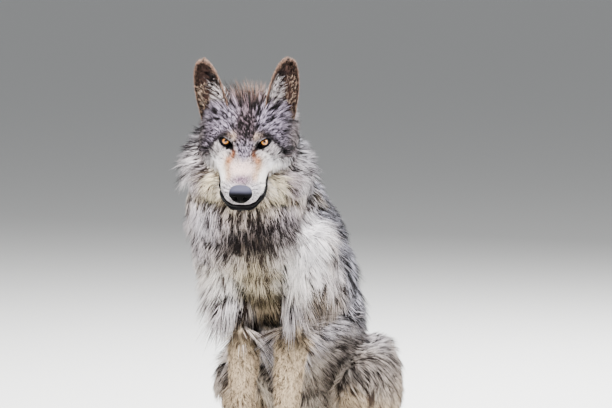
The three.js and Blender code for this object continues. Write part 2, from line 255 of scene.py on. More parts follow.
# The hide's surface: where the distance into the outline equals that depth.
scaled = openvdb.createLinearTransform(voxelSize=HIDE_MESH)
volume = openvdb.FloatGrid.createLevelSetFromPolygons(
    outline.astype(np.float32), quads=quads.reshape(-1, 4).astype(np.uint32), transform=scaled,
    halfWidth=DEEPEST / HIDE_MESH,
)
start = np.floor(low / HIDE_MESH).astype(int)
size = np.ceil((high - low) / HIDE_MESH).astype(int)
inward = np.empty(size, np.float32)
volume.copyToArray(inward, ijk=tuple(int(i) for i in start))
for axis in range(3):  # the coarse grid drawn out to the fine one
    where = ((start[axis] + np.arange(size[axis])) * HIDE_MESH - low[axis]) / DEPTH_MESH
    where = np.clip(where, 0, counts[axis] - 1.001)
    whole, part = where.astype(int), (where % 1).reshape([-1 if a == axis else 1 for a in range(3)])
    sunk = sunk.take(whole, axis) * (1 - part) + sunk.take(whole + 1, axis) * part
    sunk = sunk.astype(np.float32)
inward += ramp(sunk, 0.014, 0.03) * (blurred(inward, 5) - inward) + sunk
hide_volume = openvdb.FloatGrid(0.05)  # outside the wolf
hide_volume.copyFromArray(inward, ijk=tuple(int(i) for i in start))
hide_volume.transform = scaled
skin, quads = hide_volume.convertToQuads(isovalue=0.0)
del inward, sunk, volume, hide_volume, union, scaled

hide_mesh = bpy.data.meshes.new("hide")
hide_mesh.from_pydata(skin, [], quads)
move_points(hide_mesh, planed(points_of(hide_mesh), edges_of(hide_mesh), 8))

# The face is made finer, so that the lids, lips and brow can be worked. Each block is halved in turn.
FINER = [  # half width, front, back, bottom and top of each block on the head's axes
    (78, -136, 34, -116, 48), (72, -130, 28, -104, 40), (60, -24, 27, -28, 27),
]
hide = bmesh.new()
hide.from_mesh(hide_mesh)
for wide, front, back, low, high in FINER:
    place = seen_from_head(np.array([v.co for v in hide.verts]))
    inside = (np.abs(place[:, 0]) < wide) & (place[:, 1] > front) & (place[:, 1] < back)
    inside &= (place[:, 2] > low) & (place[:, 2] < high)
    hide.edges.ensure_lookup_table()
    chosen = [e for e in hide.edges if inside[e.verts[0].index] and inside[e.verts[1].index]]
    bmesh.ops.subdivide_edges(hide, edges=chosen, cuts=1, use_grid_fill=True)
bmesh.ops.triangulate(hide, faces=[f for f in hide.faces if len(f.verts) > 4])
hide.to_mesh(hide_mesh)
hide.free()
edges = edges_of(hide_mesh)
skin = planed(points_of(hide_mesh), edges, 6)

# The clefts between the toes run back from halfway between each two claws.
CLEFT_DEPTH, CLEFT_WIDTH = 0.0062, 0.0042
CLEFT_START, CLEFT_END = 0.004, 0.036  # how far behind the claws a cleft starts and ends
SOLE = 0.0006  # how high the soles lie over the floor
CLEFTS = []
for pair, side in (("fore", "left"), ("fore", "right"), ("hind", "left"), ("hind", "right")):
    heel = np.mean(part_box(f"{pair}foot_{side}"), axis=0)
    claws_here = [np.mean(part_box(f"claw_{pair}_{side}_{toe}"), axis=0) for toe in (1, 2, 3, 4)]
    for one, other in zip(claws_here, claws_here[1:]):
        between = (one + other) / 2
        backwards = (heel - between) / np.linalg.norm(heel - between)
        CLEFTS.append([(between + far * backwards)[:2] for far in (CLEFT_START, CLEFT_END)])


def near_clefts(places):
    """How close places on the feet are to the clefts between the toes, from 0 to 1."""
    closest = np.zeros(len(places))
    for start, end in CLEFTS:
        share = np.clip((places[:, :2] - start) @ (end - start) / ((end - start) ** 2).sum(), 0, 1)
        away = np.linalg.norm(places[:, :2] - start - share[:, None] * (end - start), axis=1)
        closest = np.maximum(closest, np.exp(-((away / CLEFT_WIDTH) ** 2)))
    return closest * ramp(places[:, 2], 0.006, 0.014) * (1 - ramp(places[:, 2], 0.045, 0.055))


skin -= normals_of(hide_mesh) * (CLEFT_DEPTH * near_clefts(skin))[:, None]
skin[:, 2] = np.maximum(skin[:, 2], SOLE)
move_points(hide_mesh, skin)

# Forms of the face, in millimetres out of the hide: (centre, half sizes, height), the same on both sides.
FACE_FORMS = [
    ((29, 10, 22), (17, 13, 15), 3.6),  # brow
    ((0, 16, 34), (7, 34, 18), -2.6),  # furrow of the forehead
    ((56, 4, -26), (16, 20, 12), 3.4),  # cheek bone
    ((36, -34, -36), (8, 24, 13), -2.4),  # hollow along the muzzle
    ((24, -16, -18), (8, 14, 8), -1.6),  # tear line
    ((0, -62, -16), (12, 40, 10), 1.2),  # bridge of the nose
    ((30, -88, -58), (12, 24, 10), 2.6),  # whisker pad
    ((43, -64, -70), (15, 34, 18), -8.5),  # beside the mouth, to leave room for the lips
    ((0, -112, -70), (14, 9, 9), 2.0),  # front of the upper lip
    ((0, -104, -84), (15, 12, 6), 1.6),  # chin
]
place = seen_from_head(skin)
outward = normals_of(hide_mesh) @ np.array(head_turned)
rise = np.zeros(len(place))
for centre, halves, height in FACE_FORMS:
    for side in (1, -1) if centre[0] else (1,):
        rise += height * spot(place, (centre[0] * side, *centre[1:]), halves)
near_face = ramp(-place[:, 1], -60, -30) * ramp(-np.abs(place[:, 0]), -95, -70)
place += outward * (rise * near_face)[:, None]

# Lids: the hide is laid over each eyeball and opened in an almond that slants up and outwards.
EYEBALL, LID = 12.5, 1.7  # the ball's radius, and how thick the lid is over it
GAZE = Vector((0.08, -0.87, 0.48)).normalized()  # which way the left eye's opening faces
SLANT = 33.0  # degrees
SLIT_SHIFT = (-1.2, -1.6)  # the slit lies a little inwards and down from the ball's middle
OPENING = (12.6, 6.3, 6.1)  # half length, and reach of the upper and the lower lid


def eye_axes(side):
    """The eye's centre, and its directions along the slit, across it and out towards the viewer."""
    gaze = Vector((GAZE.x * side, GAZE.y, GAZE.z))
    out = (Vector((side, 0, 0)) - gaze * gaze.x * side).normalized()
    up = Vector((0, 0, 1)) - gaze * gaze.z
    up.normalize()
    turn = np.radians(SLANT)
    along = out * np.cos(turn) + up * np.sin(turn)
    across = up * np.cos(turn) - out * np.sin(turn)
    return Vector((EYE_CENTRE.x * side, EYE_CENTRE.y, EYE_CENTRE.z)), along, across, gaze


def lid_place(places, side):
    """How far each place on the face is from the slit's middle, in half openings, and its reach forwards."""
    centre, along, across, gaze = eye_axes(side)
    a, b, c = [(places - np.array(centre)) @ np.array(axis) for axis in (along, across, gaze)]
    half, upper, lower = OPENING
    on, up = a - SLIT_SHIFT[0], b - SLIT_SHIFT[1]
    return np.hypot(on / half, up / np.where(up > 0, upper, lower)), a, b, c


for side in (1, -1):
    rim, a, b, c = lid_place(place, side)
    ball = EYEBALL + LID
    over = np.sqrt(np.maximum(ball**2 - a**2 - b**2, 9.0))
    closeness = (1 - ramp(rim, 1.1, 2.3)) * ramp(c, -9, 2)
    target = np.where(rim < 0.97, over - 7.5 * (1 - ramp(rim, 0.8, 0.97)), over)
    place += (closeness * (target - c))[:, None] * np.array(eye_axes(side)[3])
nearer_rim = np.minimum(*[lid_place(place, side)[0] for side in (1, -1)])
place = evened(place, edges, 2, 0.5 * ramp(nearer_rim, 1.3, 2))
skin = place / 1000 @ np.array(head_turned).T + np.array(between_eyes)
move_points(hide_mesh, skin)
skin_kinds, skin_cover = solids_near(skin)

# Ears: a wall bent into a hollow that opens forwards, wide at its base and rounded at its tip.
EAR_LENGTH, EAR_HALF_WIDTH, EAR_HOLLOW, EAR_WALL = 109.0, 32.0, 21.0, 2.0
EAR_BASE, EAR_FACING = (62, 68, 22), (0.34, -0.94, 0.1)  # of the left ear; the right one mirrors it
EAR_SPLAY = {1: (0.15, 0.17, 1), -1: (0.2, 0.02, 1)}  # which way the left and the right ear point
EAR_ROWS, EAR_STEPS = 36, 72


def ear_place(side, share, angle, stand=0.0):
    """A place on an ear: share runs from base to tip, angle round the wall, 90 degrees in the hollow."""
    turn = np.array([side, 1, 1])
    upwards = EAR_SPLAY[side] * turn / np.linalg.norm(EAR_SPLAY[side])
    facing = EAR_FACING * turn
    facing = facing - upwards * (facing @ upwards)
    facing /= np.linalg.norm(facing)
    along = 1 - (1 - share) ** 1.4
    half_width = EAR_HALF_WIDTH * (1 - along) ** 0.47 * (1 + 0.4 * along) + 0.5 + stand
    half_width = half_width * (1 - 0.12 * (1 - share) ** 6)
    across = np.cos(angle)
    bend = -EAR_HOLLOW * (1 - 0.75 * along) * (1 - across**2)
    wall = (EAR_WALL * (1 - 0.4 * along) + stand) * np.sin(angle)
    steps = [EAR_LENGTH * along - 24 * (1 - share) ** 6, half_width * across, bend + wall]
    axes = [upwards, np.cross(upwards, facing), facing]
    spot_on_head = EAR_BASE * turn + sum(step[..., None] * axis for step, axis in zip(steps, axes))
    return spot_on_head / 1000 @ np.array(head_turned).T + np.array(between_eyes)


shares, angles = np.linspace(0, 1, EAR_ROWS), np.linspace(0, 2 * np.pi, EAR_STEPS, endpoint=False)
hide = bmesh.new()
hide.from_mesh(hide_mesh)
for side in (1, -1):
    rows = ear_place(side, shares[:-1, None], angles[None, :])
    rings = [[hide.verts.new(p) for p in row] for row in rows]
    tip = hide.verts.new(ear_place(side, np.array([1.0]), np.array([0.0]))[0])
    foot = hide.verts.new(rows[0].mean(0))
    for step in range(EAR_STEPS):
        onward = (step + 1) % EAR_STEPS
        for low, high in zip(rings, rings[1:]):
            hide.faces.new([low[step], low[onward], high[onward], high[step]][::side])
        hide.faces.new([rings[-1][step], rings[-1][onward], tip][::side])
        hide.faces.new([rings[0][onward], rings[0][step], foot][::side])
skinned_mesh = bpy.data.meshes.new("hide")
hide.to_mesh(skinned_mesh)
hide.free()
hide = bpy.data.objects.new("hide", skinned_mesh)
bpy.context.collection.objects.link(hide)
skinned_mesh.polygons.foreach_set("use_smooth", np.ones(len(skinned_mesh.polygons), bool))
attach(hide, "root")
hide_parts(*FLESH, "ear_left", "ear_right")


# ---- Markings -----------------------------------------------------------------------------------------
# The colours that the hide and the coat share: a grey wolf's black saddle, dark mask and bib, pale cheeks,
# chest and legs. Each place has a light and a dark hair colour, the share of dark hairs, and how black
# the tips are. Marks on the chest and the face are laid out as they are seen from in front.
def tint(red, green, blue):
    """A colour as the eye sees it, made linear."""
    return np.array([red, green, blue]) ** 2.2


COAT_TINTS = {  # light hairs, dark hairs, share of dark ones, blackness of the tips
    "neck": ((0.84, 0.80, 0.82), (0.16, 0.13, 0.14), 0.42, 0.5),
    "chest": ((0.85, 0.82, 0.84), (0.15, 0.12, 0.14), 0.40, 0.5),
    "belly": ((0.78, 0.73, 0.70), (0.16, 0.13, 0.13), 0.38, 0.5),
    "rump": ((0.70, 0.65, 0.61), (0.14, 0.11, 0.11), 0.48, 0.6),
    "tail": ((0.66, 0.59, 0.53), (0.12, 0.09, 0.09), 0.5, 0.6),
    "leg": ((0.85, 0.75, 0.62), (0.46, 0.36, 0.28), 0.32, 0.1),
    "head": ((0.80, 0.76, 0.77), (0.17, 0.13, 0.14), 0.40, 0.3),
}
BODY_MARKS = [  # (across, height) as seen from in front, half sizes, light hairs, dark hairs, share, tips
    ((-0.165, 0.580), (0.090, 0.050), (0.70, 0.63, 0.57), (0.18, 0.13, 0.11), 0.52, 0.3),  # throat
    ((-0.072, 0.572), (0.028, 0.052), (0.72, 0.67, 0.70), (0.16, 0.12, 0.13), 0.55, 0.4),  # side of the neck
    ((-0.240, 0.560), (0.028, 0.080), (0.92, 0.89, 0.92), (0.26, 0.22, 0.23), 0.30, 0.4),
    ((-0.142, 0.508), (0.100, 0.034), (0.70, 0.65, 0.65), (0.16, 0.13, 0.13), 0.60, 0.4),  # dark bib
    ((-0.142, 0.504), (0.060, 0.026), (0.36, 0.30, 0.26), (0.09, 0.06, 0.055), 0.82, 0.5),
    ((-0.137, 0.436), (0.150, 0.038), (0.94, 0.90, 0.85), (0.40, 0.32, 0.28), 0.30, 0.1),  # cream chest
    ((-0.066, 0.452), (0.034, 0.040), (0.99, 0.97, 0.96), (0.50, 0.44, 0.42), 0.16, 0.1),
    ((-0.138, 0.452), (0.046, 0.028), (0.74, 0.68, 0.56), (0.27, 0.21, 0.15), 0.56, 0.1),
    ((-0.130, 0.400), (0.054, 0.024), (0.62, 0.56, 0.42), (0.26, 0.21, 0.14), 0.54, 0.1),
    ((-0.210, 0.405), (0.030, 0.034), (0.94, 0.92, 0.90), (0.42, 0.37, 0.35), 0.22, 0.1),
    ((-0.015, 0.515), (0.034, 0.100), (1.0, 0.98, 0.99), (0.38, 0.32, 0.33), 0.16, 0.3),  # pale shoulder
    ((0.012, 0.430), (0.040, 0.030), (0.94, 0.90, 0.90), (0.34, 0.28, 0.28), 0.28, 0.2),
    ((-0.020, 0.376), (0.032, 0.024), (0.54, 0.48, 0.42), (0.20, 0.16, 0.13), 0.60, 0.1),
    ((0.050, 0.500), (0.022, 0.080), (0.80, 0.79, 0.84), (0.08, 0.07, 0.10), 0.60, 0.6),  # saddle's edge
]
FACE_MARKS = [  # (from the middle, down), half sizes, light hairs, dark hairs, share of dark, tips
    ((56, 40), (22, 20), (0.80, 0.77, 0.78), (0.30, 0.26, 0.27), 0.30, 0.0),  # cheek under the eye
    ((40, 24), (12, 7), (0.88, 0.84, 0.83), (0.44, 0.38, 0.37), 0.20, 0.0),
    ((60, 24), (11, 9), (0.56, 0.52, 0.52), (0.16, 0.13, 0.14), 0.52, 0.1),
    ((58, 54), (17, 24), (1.0, 0.99, 1.0), (0.80, 0.77, 0.77), 0.06, 0.0),  # white beside the muzzle
    ((74, 96), (26, 28), (0.94, 0.88, 0.76), (0.50, 0.42, 0.34), 0.24, 0.1),  # below the mouth's corner
    ((114, 66), (15, 60), (0.92, 0.89, 0.90), (0.20, 0.16, 0.16), 0.34, 0.5),  # pale edge of the ruff
    ((104, -40), (18, 40), (0.50, 0.45, 0.46), (0.12, 0.09, 0.09), 0.58, 0.4),  # below the ear
    ((87, 14), (12, 24), (0.46, 0.40, 0.40), (0.11, 0.08, 0.08), 0.68, 0.4),  # dark stripe of the cheek
    ((97, 54), (9, 26), (0.54, 0.47, 0.46), (0.13, 0.10, 0.10), 0.60, 0.4),
    ((98, 96), (11, 24), (0.76, 0.70, 0.72), (0.20, 0.16, 0.16), 0.44, 0.4),
    ((65, 52), (12, 18), (1.0, 0.99, 1.0), (0.66, 0.62, 0.62), 0.08, 0.0),
    ((0, 50), (38, 18), (0.97, 0.86, 0.83), (0.80, 0.64, 0.58), 0.20, 0.0),  # buff top of the muzzle
    ((32, 48), (7, 17), (0.82, 0.64, 0.48), (0.52, 0.36, 0.24), 0.42, 0.0),  # tan side of the muzzle
    ((27, 66), (6, 10), (0.90, 0.74, 0.62), (0.62, 0.46, 0.36), 0.34, 0.0),
    ((41, 72), (10, 28), (1.0, 0.98, 0.96), (0.88, 0.84, 0.80), 0.06, 0.0),  # white upper lip
    ((27, 94), (14, 16), (0.95, 0.92, 0.94), (0.30, 0.25, 0.28), 0.30, 0.0),  # whisker pads
    ((0, 72), (17, 9), (0.66, 0.56, 0.62), (0.40, 0.32, 0.38), 0.46, 0.0),  # smudge above the nose
    ((0, 14), (15, 20), (0.58, 0.52, 0.58), (0.20, 0.16, 0.19), 0.46, 0.1),  # between the eyes
    ((21, 22), (5, 11), (0.56, 0.36, 0.26), (0.26, 0.14, 0.09), 0.52, 0.0),  # rust below the inner corner
    ((28, 34), (6, 7), (0.80, 0.58, 0.44), (0.48, 0.30, 0.20), 0.38, 0.0),
]
SPINE = (  # heights along the back, and how far back it lies at each
    [0.214, 0.318, 0.424, 0.524, 0.62, 0.706], [0.262, 0.176, 0.084, -0.018, -0.096, -0.138],
)
WHISKERS = [  # where they stand on each side of the muzzle: (from the middle, down)
    (23, 84), (28, 82), (33, 79), (37, 76), (22, 91), (27, 90), (32, 88), (36, 85), (21, 98), (26, 98),
    (31, 96),
]
CROWN_LINE = -80.0  # how far up the grey of the forehead reaches
PATCH_EDGE = (  # its lower edge: how far from the middle, and how far down
    [0, 10, 18, 26, 36, 48, 58, 70, 90], [34, 26, 6, -8, -11, -10, -2, 14, 22],
)


def front_of(places):
    """How far places on the head are from its middle line, down as seen from in front, and back."""
    across, back, above = seen_from_head(places).T
    return np.abs(across), -0.866 * above - 0.5 * back, back


def markings(places, kind):
    """Light colours, dark colours, share of dark hairs and blackness of tips, as one table."""
    names = np.where(np.char.startswith(kind, "tail"), "tail", kind)
    legs = np.isin(kind, ["upper_arm", "forearm", "forefoot", "thigh", "shank", "hindfoot"])
    names = np.where(legs, "leg", np.where(np.isin(kind, ["muzzle", "lower_jaw"]), "head", names))
    row = {name: np.r_[tint(*mix[0]), tint(*mix[1]), mix[2:]] for name, mix in COAT_TINTS.items()}
    table = np.array([row[name] for name in names])
    deepened = np.r_[np.ones(3), np.full(3, 0.5), np.ones(2)]  # dark hairs are darker than they are given

    def mark(mask, light, dark, share, tip):
        nonlocal table
        table = table + mask[:, None] * (np.r_[tint(*light), tint(*dark), share, tip] - table)

    x, y, z = places.T
    aside, down, back = front_of(places)
    face = np.isin(kind, ["head", "muzzle", "lower_jaw"]) * 1.0
    ruff = (kind == "neck") * ramp(-down, -150, -105) * ramp(-back, -190, -120)
    face = np.maximum(face, ruff)
    # Trunk: pale neck and shoulders, dark bib, cream chest, black saddle with white streaks.
    trunk = np.isin(kind, ["chest", "belly", "rump", "neck", "upper_arm", "thigh"]) * 1.0
    spine = np.interp(z, *SPINE)
    behind = ramp(y - spine + 0.035 * ramp(x, 0.0, 0.05), -0.142, -0.072)
    mark(trunk * behind * ramp(z, 0.20, 0.40), (0.74, 0.73, 0.78), (0.06, 0.05, 0.07), 0.60, 0.8)
    ridge = (1 - ramp(np.abs(x + 0.02), 0.03, 0.10)) * ramp(y - spine, 0.02, 0.07) * ramp(z, 0.22, 0.36)
    mark(trunk * ridge, (0.44, 0.41, 0.41), (0.05, 0.045, 0.05), 0.72, 1.0)
    inside = (1 - ramp(z, 0.16, 0.30)) * ramp(-y, -0.2, 0.0)
    mark(trunk * inside, (0.84, 0.78, 0.70), (0.55, 0.47, 0.42), 0.25, 0.1)
    across = x * np.cos(0.28) + y * np.sin(0.28)
    for (middle, level), (wide, tall), light, dark, share, tip in BODY_MARKS:
        near = np.exp(-1.1 * (((across - middle) / wide) ** 2 + ((z - level) / tall) ** 2))
        mark(np.clip(1.35 * near, 0, 1) * trunk * (1 - behind), light, dark, share, tip)
    # Legs: greyer at the top, cream feet, painted shade in the toes' clefts, dark soles. Tail: black tip.
    mark((kind == "forearm") * ramp(z, 0.25, 0.35), (0.58, 0.51, 0.41), (0.24, 0.19, 0.14), 0.56, 0.1)
    haunch = np.isin(kind, ["thigh", "rump"]) * ramp(z, 0.10, 0.25)
    mark(haunch, (0.70, 0.65, 0.62), (0.16, 0.12, 0.12), 0.48, 0.4)
    mark(legs * (1 - ramp(z, 0.05, 0.14)), (0.87, 0.79, 0.68), (0.66, 0.54, 0.42), 0.22, 0.0)
    # Painted shade: the clefts between the toes are darkened.
    mark(legs * near_clefts(places), (0.34, 0.27, 0.21), (0.16, 0.12, 0.09), 0.6, 0.0)
    feet = np.isin(kind, ["forefoot", "hindfoot"]) * (1 - ramp(z, 0.002, 0.006))
    mark(feet, (0.12, 0.10, 0.10), (0.08, 0.07, 0.07), 0.5, 0.0)
    tail_tip = np.char.startswith(kind, "tail") * (1 - ramp(y, 0.17, 0.23)) * ramp(x, 0.12, 0.18)
    mark(tail_tip, (0.20, 0.17, 0.16), (0.04, 0.035, 0.035), 0.8, 1.0)
    # Head.
    dots = np.zeros(len(x))
    under_jaw = face * ramp(down, 96, 120) * (1 - ramp(down, 122, 150)) * ramp(back, -70, -30)
    mark(under_jaw, (0.83, 0.76, 0.62), (0.46, 0.38, 0.29), 0.36, 0.2)
    for (middle, level), (wide, tall), light, dark, share, tip in FACE_MARKS:
        near = np.exp(-1.1 * (((aside - middle) / wide) ** 2 + ((down - level) / tall) ** 2))
        mark(np.clip(1.35 * near, 0, 1) * face, light, dark, share, tip)
    for middle, level in WHISKERS:
        dots = np.maximum(dots, np.exp(-(((aside - middle) / 1.3) ** 2) - ((down - level) / 1.3) ** 2))
    mark(0.9 * dots * face, (0.16, 0.13, 0.14), (0.08, 0.06, 0.07), 0.7, 0.0)
    edge = np.interp(aside, *PATCH_EDGE)
    softly = np.interp(aside, [0, 16, 26], [12, 6, 3])
    patch = (1 - ramp(down, edge - softly, edge + softly)) * (1 - ramp(aside, 78, 92)) * face
    mark(patch, (0.70, 0.65, 0.73), (0.09, 0.07, 0.085), 0.57, 0.4)
    streak = patch * (1 - ramp(aside, 12, 30)) * (1 - ramp(down, -18, 10))
    mark(0.85 * streak, (0.44, 0.36, 0.38), (0.08, 0.05, 0.055), 0.76, 0.3)
    dark_side = patch * ramp(aside, 56, 80) * ramp(down, -60, -20)
    mark(0.6 * dark_side, (0.50, 0.45, 0.50), (0.11, 0.09, 0.11), 0.64, 0.4)
    lashes = patch * ramp(down, edge - 17, edge - 5) * ramp(aside, 22, 34)
    mark(0.9 * lashes, (0.28, 0.23, 0.24), (0.08, 0.06, 0.07), 0.80, 0.3)
    near = np.exp(-1.3 * (((aside - 23) / 6) ** 2 + ((down + 12) / 10) ** 2))
    mark(near * face, (0.74, 0.62, 0.52), (0.40, 0.31, 0.26), 0.34, 0.0)
    crown = (1 - ramp(down, CROWN_LINE - 14, CROWN_LINE + 6)) * (1 - ramp(aside, 50, 80))
    crown *= np.isin(kind, ["head", "neck"]) * ramp(-y, 0.17, 0.20)
    mark(crown, (0.37, 0.275, 0.225), (0.12, 0.07, 0.05), 0.66, 0.0)
    # Lids and lips are black, and so is the front of the chin.
    for side in (1, -1):
        rim, a, b, _ = lid_place(seen_from_head(places), side)
        fold = np.exp(-(((a + 3) / 12) ** 2) - ((b - 17) / 5) ** 2)
        mark(0.8 * face * fold, (0.68, 0.60, 0.55), (0.30, 0.23, 0.20), 0.42, 0.0)
        lid_line = np.exp(-(((a - 2) / 13) ** 2) - ((b - 9.5) / 2.4) ** 2)
        mark(0.8 * face * lid_line, (0.22, 0.17, 0.17), (0.07, 0.05, 0.055), 0.7, 0.2)
        liner = np.exp(-(((a - 15) / 7) ** 2) - ((b + 0.5) / 2.2) ** 2)
        liner += np.exp(-(((a + 17) / 6) ** 2) - ((b + 3) / 2.2) ** 2)
        mark(face * np.clip(1.3 * liner, 0, 1), (0.10, 0.07, 0.07), (0.05, 0.035, 0.04), 0.7, 0.5)
        mark(face * (1 - ramp(rim, 1.14, 1.3)), (0.05, 0.04, 0.045), (0.03, 0.025, 0.03), 0.9, 1.0)
    chin = (kind == "lower_jaw") * (1 - ramp(aside, 18, 28)) * ramp(-back, 76, 88)
    mark(chin, (0.08, 0.07, 0.07), (0.05, 0.04, 0.05), 0.8, 0.5)
    return table * deepened


def settled(table):
    """Marks with their edges softened where the coat is long."""
    short = np.isin(skin_kinds, ["muzzle", "lower_jaw", "forefoot", "hindfoot"])
    short |= (skin_kinds == "head") & (front_of(skin)[2] < 40)
    return evened(table, edges, 12, 0.5 * evened(1.0 - short, edges, 6))


def hair_colours(table, draw):
    """One colour for each hair, light or dark by its draw between 0 and 1."""
    darkness = ramp(table[:, 6] - draw + 0.5, 0.42, 0.58)[:, None]
    return table[:, 0:3] + darkness * (table[:, 3:6] - table[:, 0:3])


def give_colours(mesh, name, colours):
    """Keep a colour at each of the mesh's points, for its material."""
    layer = mesh.attributes.new(name, "FLOAT_COLOR", "POINT")
    layer.data.foreach_set("color", np.c_[colours, np.ones(len(colours))].astype(np.float32).ravel())


def give_values(mesh, name, values):
    """Keep a value at each of the mesh's points, for its material."""
    layer = mesh.attributes.new(name, "FLOAT", "POINT")
    layer.data.foreach_set("value", values.astype(np.float32))


skin_marks = settled(markings(skin, skin_kinds))
# The hide takes the hairs' mean colour darkened to 0.55, as painted shade beneath the coat.
under = hair_colours(skin_marks, np.full(len(skin), 0.5)) * 0.55
ear_skin = points_of(skinned_mesh)[len(skin):]
ear_tint = np.tile(tint(0.24, 0.17, 0.15), (len(ear_skin), 1))
give_colours(skinned_mesh, "coat_colour", np.r_[under, ear_tint])


def new_material(name, roughness, gloss=0.5):
    """A material with its nodes, its links and its shader."""
    material = bpy.data.materials.new(name)
    material.use_nodes = True
    nodes, links = material.node_tree.nodes, material.node_tree.links
    shader = nodes["Principled BSDF"]
    shader.inputs["Roughness"].default_value = roughness
    shader.inputs["Specular IOR Level"].default_value = gloss
    return material, nodes, links, shader


def grain_group():
    """A node group for fine grain: the grain's value, and the surface's normal roughened by it."""
    group = bpy.data.node_groups.new("fine grain", "ShaderNodeTree")
    for name in ("Scale", "Detail", "Strength", "Distance"):
        group.interface.new_socket(name, in_out="INPUT", socket_type="NodeSocketFloat")
    group.interface.new_socket("Value", in_out="OUTPUT", socket_type="NodeSocketFloat")
    group.interface.new_socket("Normal", in_out="OUTPUT", socket_type="NodeSocketVector")
    inner, joins = group.nodes, group.links
    start, end = inner.new("NodeGroupInput"), inner.new("NodeGroupOutput")
    places, noise, bump = [inner.new("ShaderNode" + kind) for kind in ("TexCoord", "TexNoise", "Bump")]
    joins.new(places.outputs["Object"], noise.inputs["Vector"])
    for name in ("Scale", "Detail"):
        joins.new(start.outputs[name], noise.inputs[name])
    for name in ("Strength", "Distance"):
        joins.new(start.outputs[name], bump.inputs[name])
    joins.new(noise.outputs["Fac"], bump.inputs["Height"])
    joins.new(noise.outputs["Fac"], end.inputs["Value"])
    joins.new(bump.outputs["Normal"], end.inputs["Normal"])
    return group


fine_grain = grain_group()


def grained(nodes, scale, detail, strength=0.0, distance=0.001):
    """The fine grain in a material, at its own size and depth."""
    grain = nodes.new("ShaderNodeGroup")
    grain.node_tree = fine_grain
    for name, value in (("Scale", scale), ("Detail", detail), ("Strength", strength), ("Distance", distance)):
        grain.inputs[name].default_value = value
    return grain


def reading(nodes, name, kind="Fac"):
    """What a named attribute of the mesh gives in a material."""
    node = nodes.new("ShaderNodeAttribute")
    node.attribute_name = name
    return node.outputs[kind]


hide_finish, nodes, links, shader = new_material("hide", 0.75, 0.2)
links.new(reading(nodes, "coat_colour", "Color"), shader.inputs["Base Color"])
links.new(grained(nodes, 900, 3, 0.6).outputs["Normal"], shader.inputs["Normal"])
skinned_mesh.materials.append(hide_finish)


# ---- Eyes ---------------------------------------------------------------------------------------------
# Glass eyes, each a smooth ball with its clear front domed over the iris, set behind the lids. They look
# at someone in front of the wolf. The iris is amber with fine rays, a dark ring and a small round pupil.
IRIS_RADIUS, DOME = 6.5, 0.9
EYE_RINGS, EYE_SPOKES = 44, 64
LOOK = Vector((0.275, -0.959, 0.07)).normalized()


def built(name, points, faces, material, slot, *nodes):
    """A smooth closed piece from its points and faces, standing for the CAD nodes named."""
    mesh = bpy.data.meshes.new(name)
    mesh.from_pydata([tuple(p) for p in points], [], [tuple(f) for f in faces])
    mesh.validate()
    outward = bmesh.new()
    outward.from_mesh(mesh)
    bmesh.ops.recalc_face_normals(outward, faces=outward.faces)
    outward.to_mesh(mesh)
    outward.free()
    mesh.polygons.foreach_set("use_smooth", np.ones(len(mesh.polygons), bool))
    mesh.materials.append(material)
    piece = bpy.data.objects.new(name, mesh)
    bpy.context.collection.objects.link(piece)
    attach(piece, "root")
    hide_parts(*nodes)
    return piece


def ball_faces(rings, spokes):
    """Faces of a ball: one pole, then rings of points, then the other pole."""
    faces = [(0, 1 + (k + 1) % spokes, 1 + k) for k in range(spokes)]
    for ring in range(rings - 1):
        a, b = 1 + ring * spokes, 1 + (ring + 1) * spokes
        faces += [(a + k, a + (k + 1) % spokes, b + (k + 1) % spokes, b + k) for k in range(spokes)]
    last = 1 + (rings - 1) * spokes
    return faces + [(last + k, last + (k + 1) % spokes, last + spokes) for k in range(spokes)]


def blended(nodes, links, amount, low, high):
    """A colour that runs from low to high by an amount; each may be a colour or another node's output."""
    mix = nodes.new("ShaderNodeMix")
    mix.data_type = "RGBA"
    for socket, value in (("Factor", amount), ("A", low), ("B", high)):
        if isinstance(value, bpy.types.NodeSocket):
            links.new(value, mix.inputs[socket])
        else:
            mix.inputs[socket].default_value = value if socket == "Factor" else (*value, 1)
    return mix.outputs["Result"]


eye_finish, nodes, links, shader = new_material("eye", 0.12)
rays = nodes.new("ShaderNodeTexNoise")
rays.inputs["Scale"].default_value = 2.6
rays.inputs["Detail"].default_value = 4
links.new(reading(nodes, "rays", "Vector"), rays.inputs["Vector"])
bands = nodes.new("ShaderNodeValToRGB")
band_stops = [  # from the pupil's middle outwards: place, colour
    (0.0, (0.003, 0.002, 0.002)), (0.150, (0.003, 0.002, 0.002)), (0.175, (0.09, 0.024, 0.003)),
    (0.25, (0.30, 0.10, 0.007)), (0.36, (0.50, 0.20, 0.014)), (0.41, (0.34, 0.11, 0.008)),
    (0.45, (0.05, 0.015, 0.004)), (0.48, (0.005, 0.003, 0.003)), (1.0, (0.008, 0.006, 0.007)),
]
while len(bands.color_ramp.elements) < len(band_stops):
    bands.color_ramp.elements.new(0.5)
for stop, (spot_at, shade) in zip(bands.color_ramp.elements, band_stops):
    stop.position = spot_at
    stop.color = (*shade, 1)
links.new(reading(nodes, "from_pupil"), bands.inputs["Fac"])
dimmed = nodes.new("ShaderNodeMapRange")
for name, value in (("From Min", 0.3), ("From Max", 0.7), ("To Min", 0.55), ("To Max", 1.25)):
    dimmed.inputs[name].default_value = value
links.new(rays.outputs["Fac"], dimmed.inputs["Value"])
rayed = nodes.new("ShaderNodeVectorMath")
rayed.operation = "SCALE"
links.new(bands.outputs["Color"], rayed.inputs[0])
links.new(dimmed.outputs["Result"], rayed.inputs["Scale"])
shaded = nodes.new("ShaderNodeVectorMath")
shaded.operation = "SCALE"
links.new(rayed.outputs["Vector"], shaded.inputs[0])
links.new(reading(nodes, "lit"), shaded.inputs["Scale"])
links.new(shaded.outputs["Vector"], shader.inputs["Base Color"])
shader.inputs["Coat Weight"].default_value = 1.0
shader.inputs["Coat Roughness"].default_value = 0.02

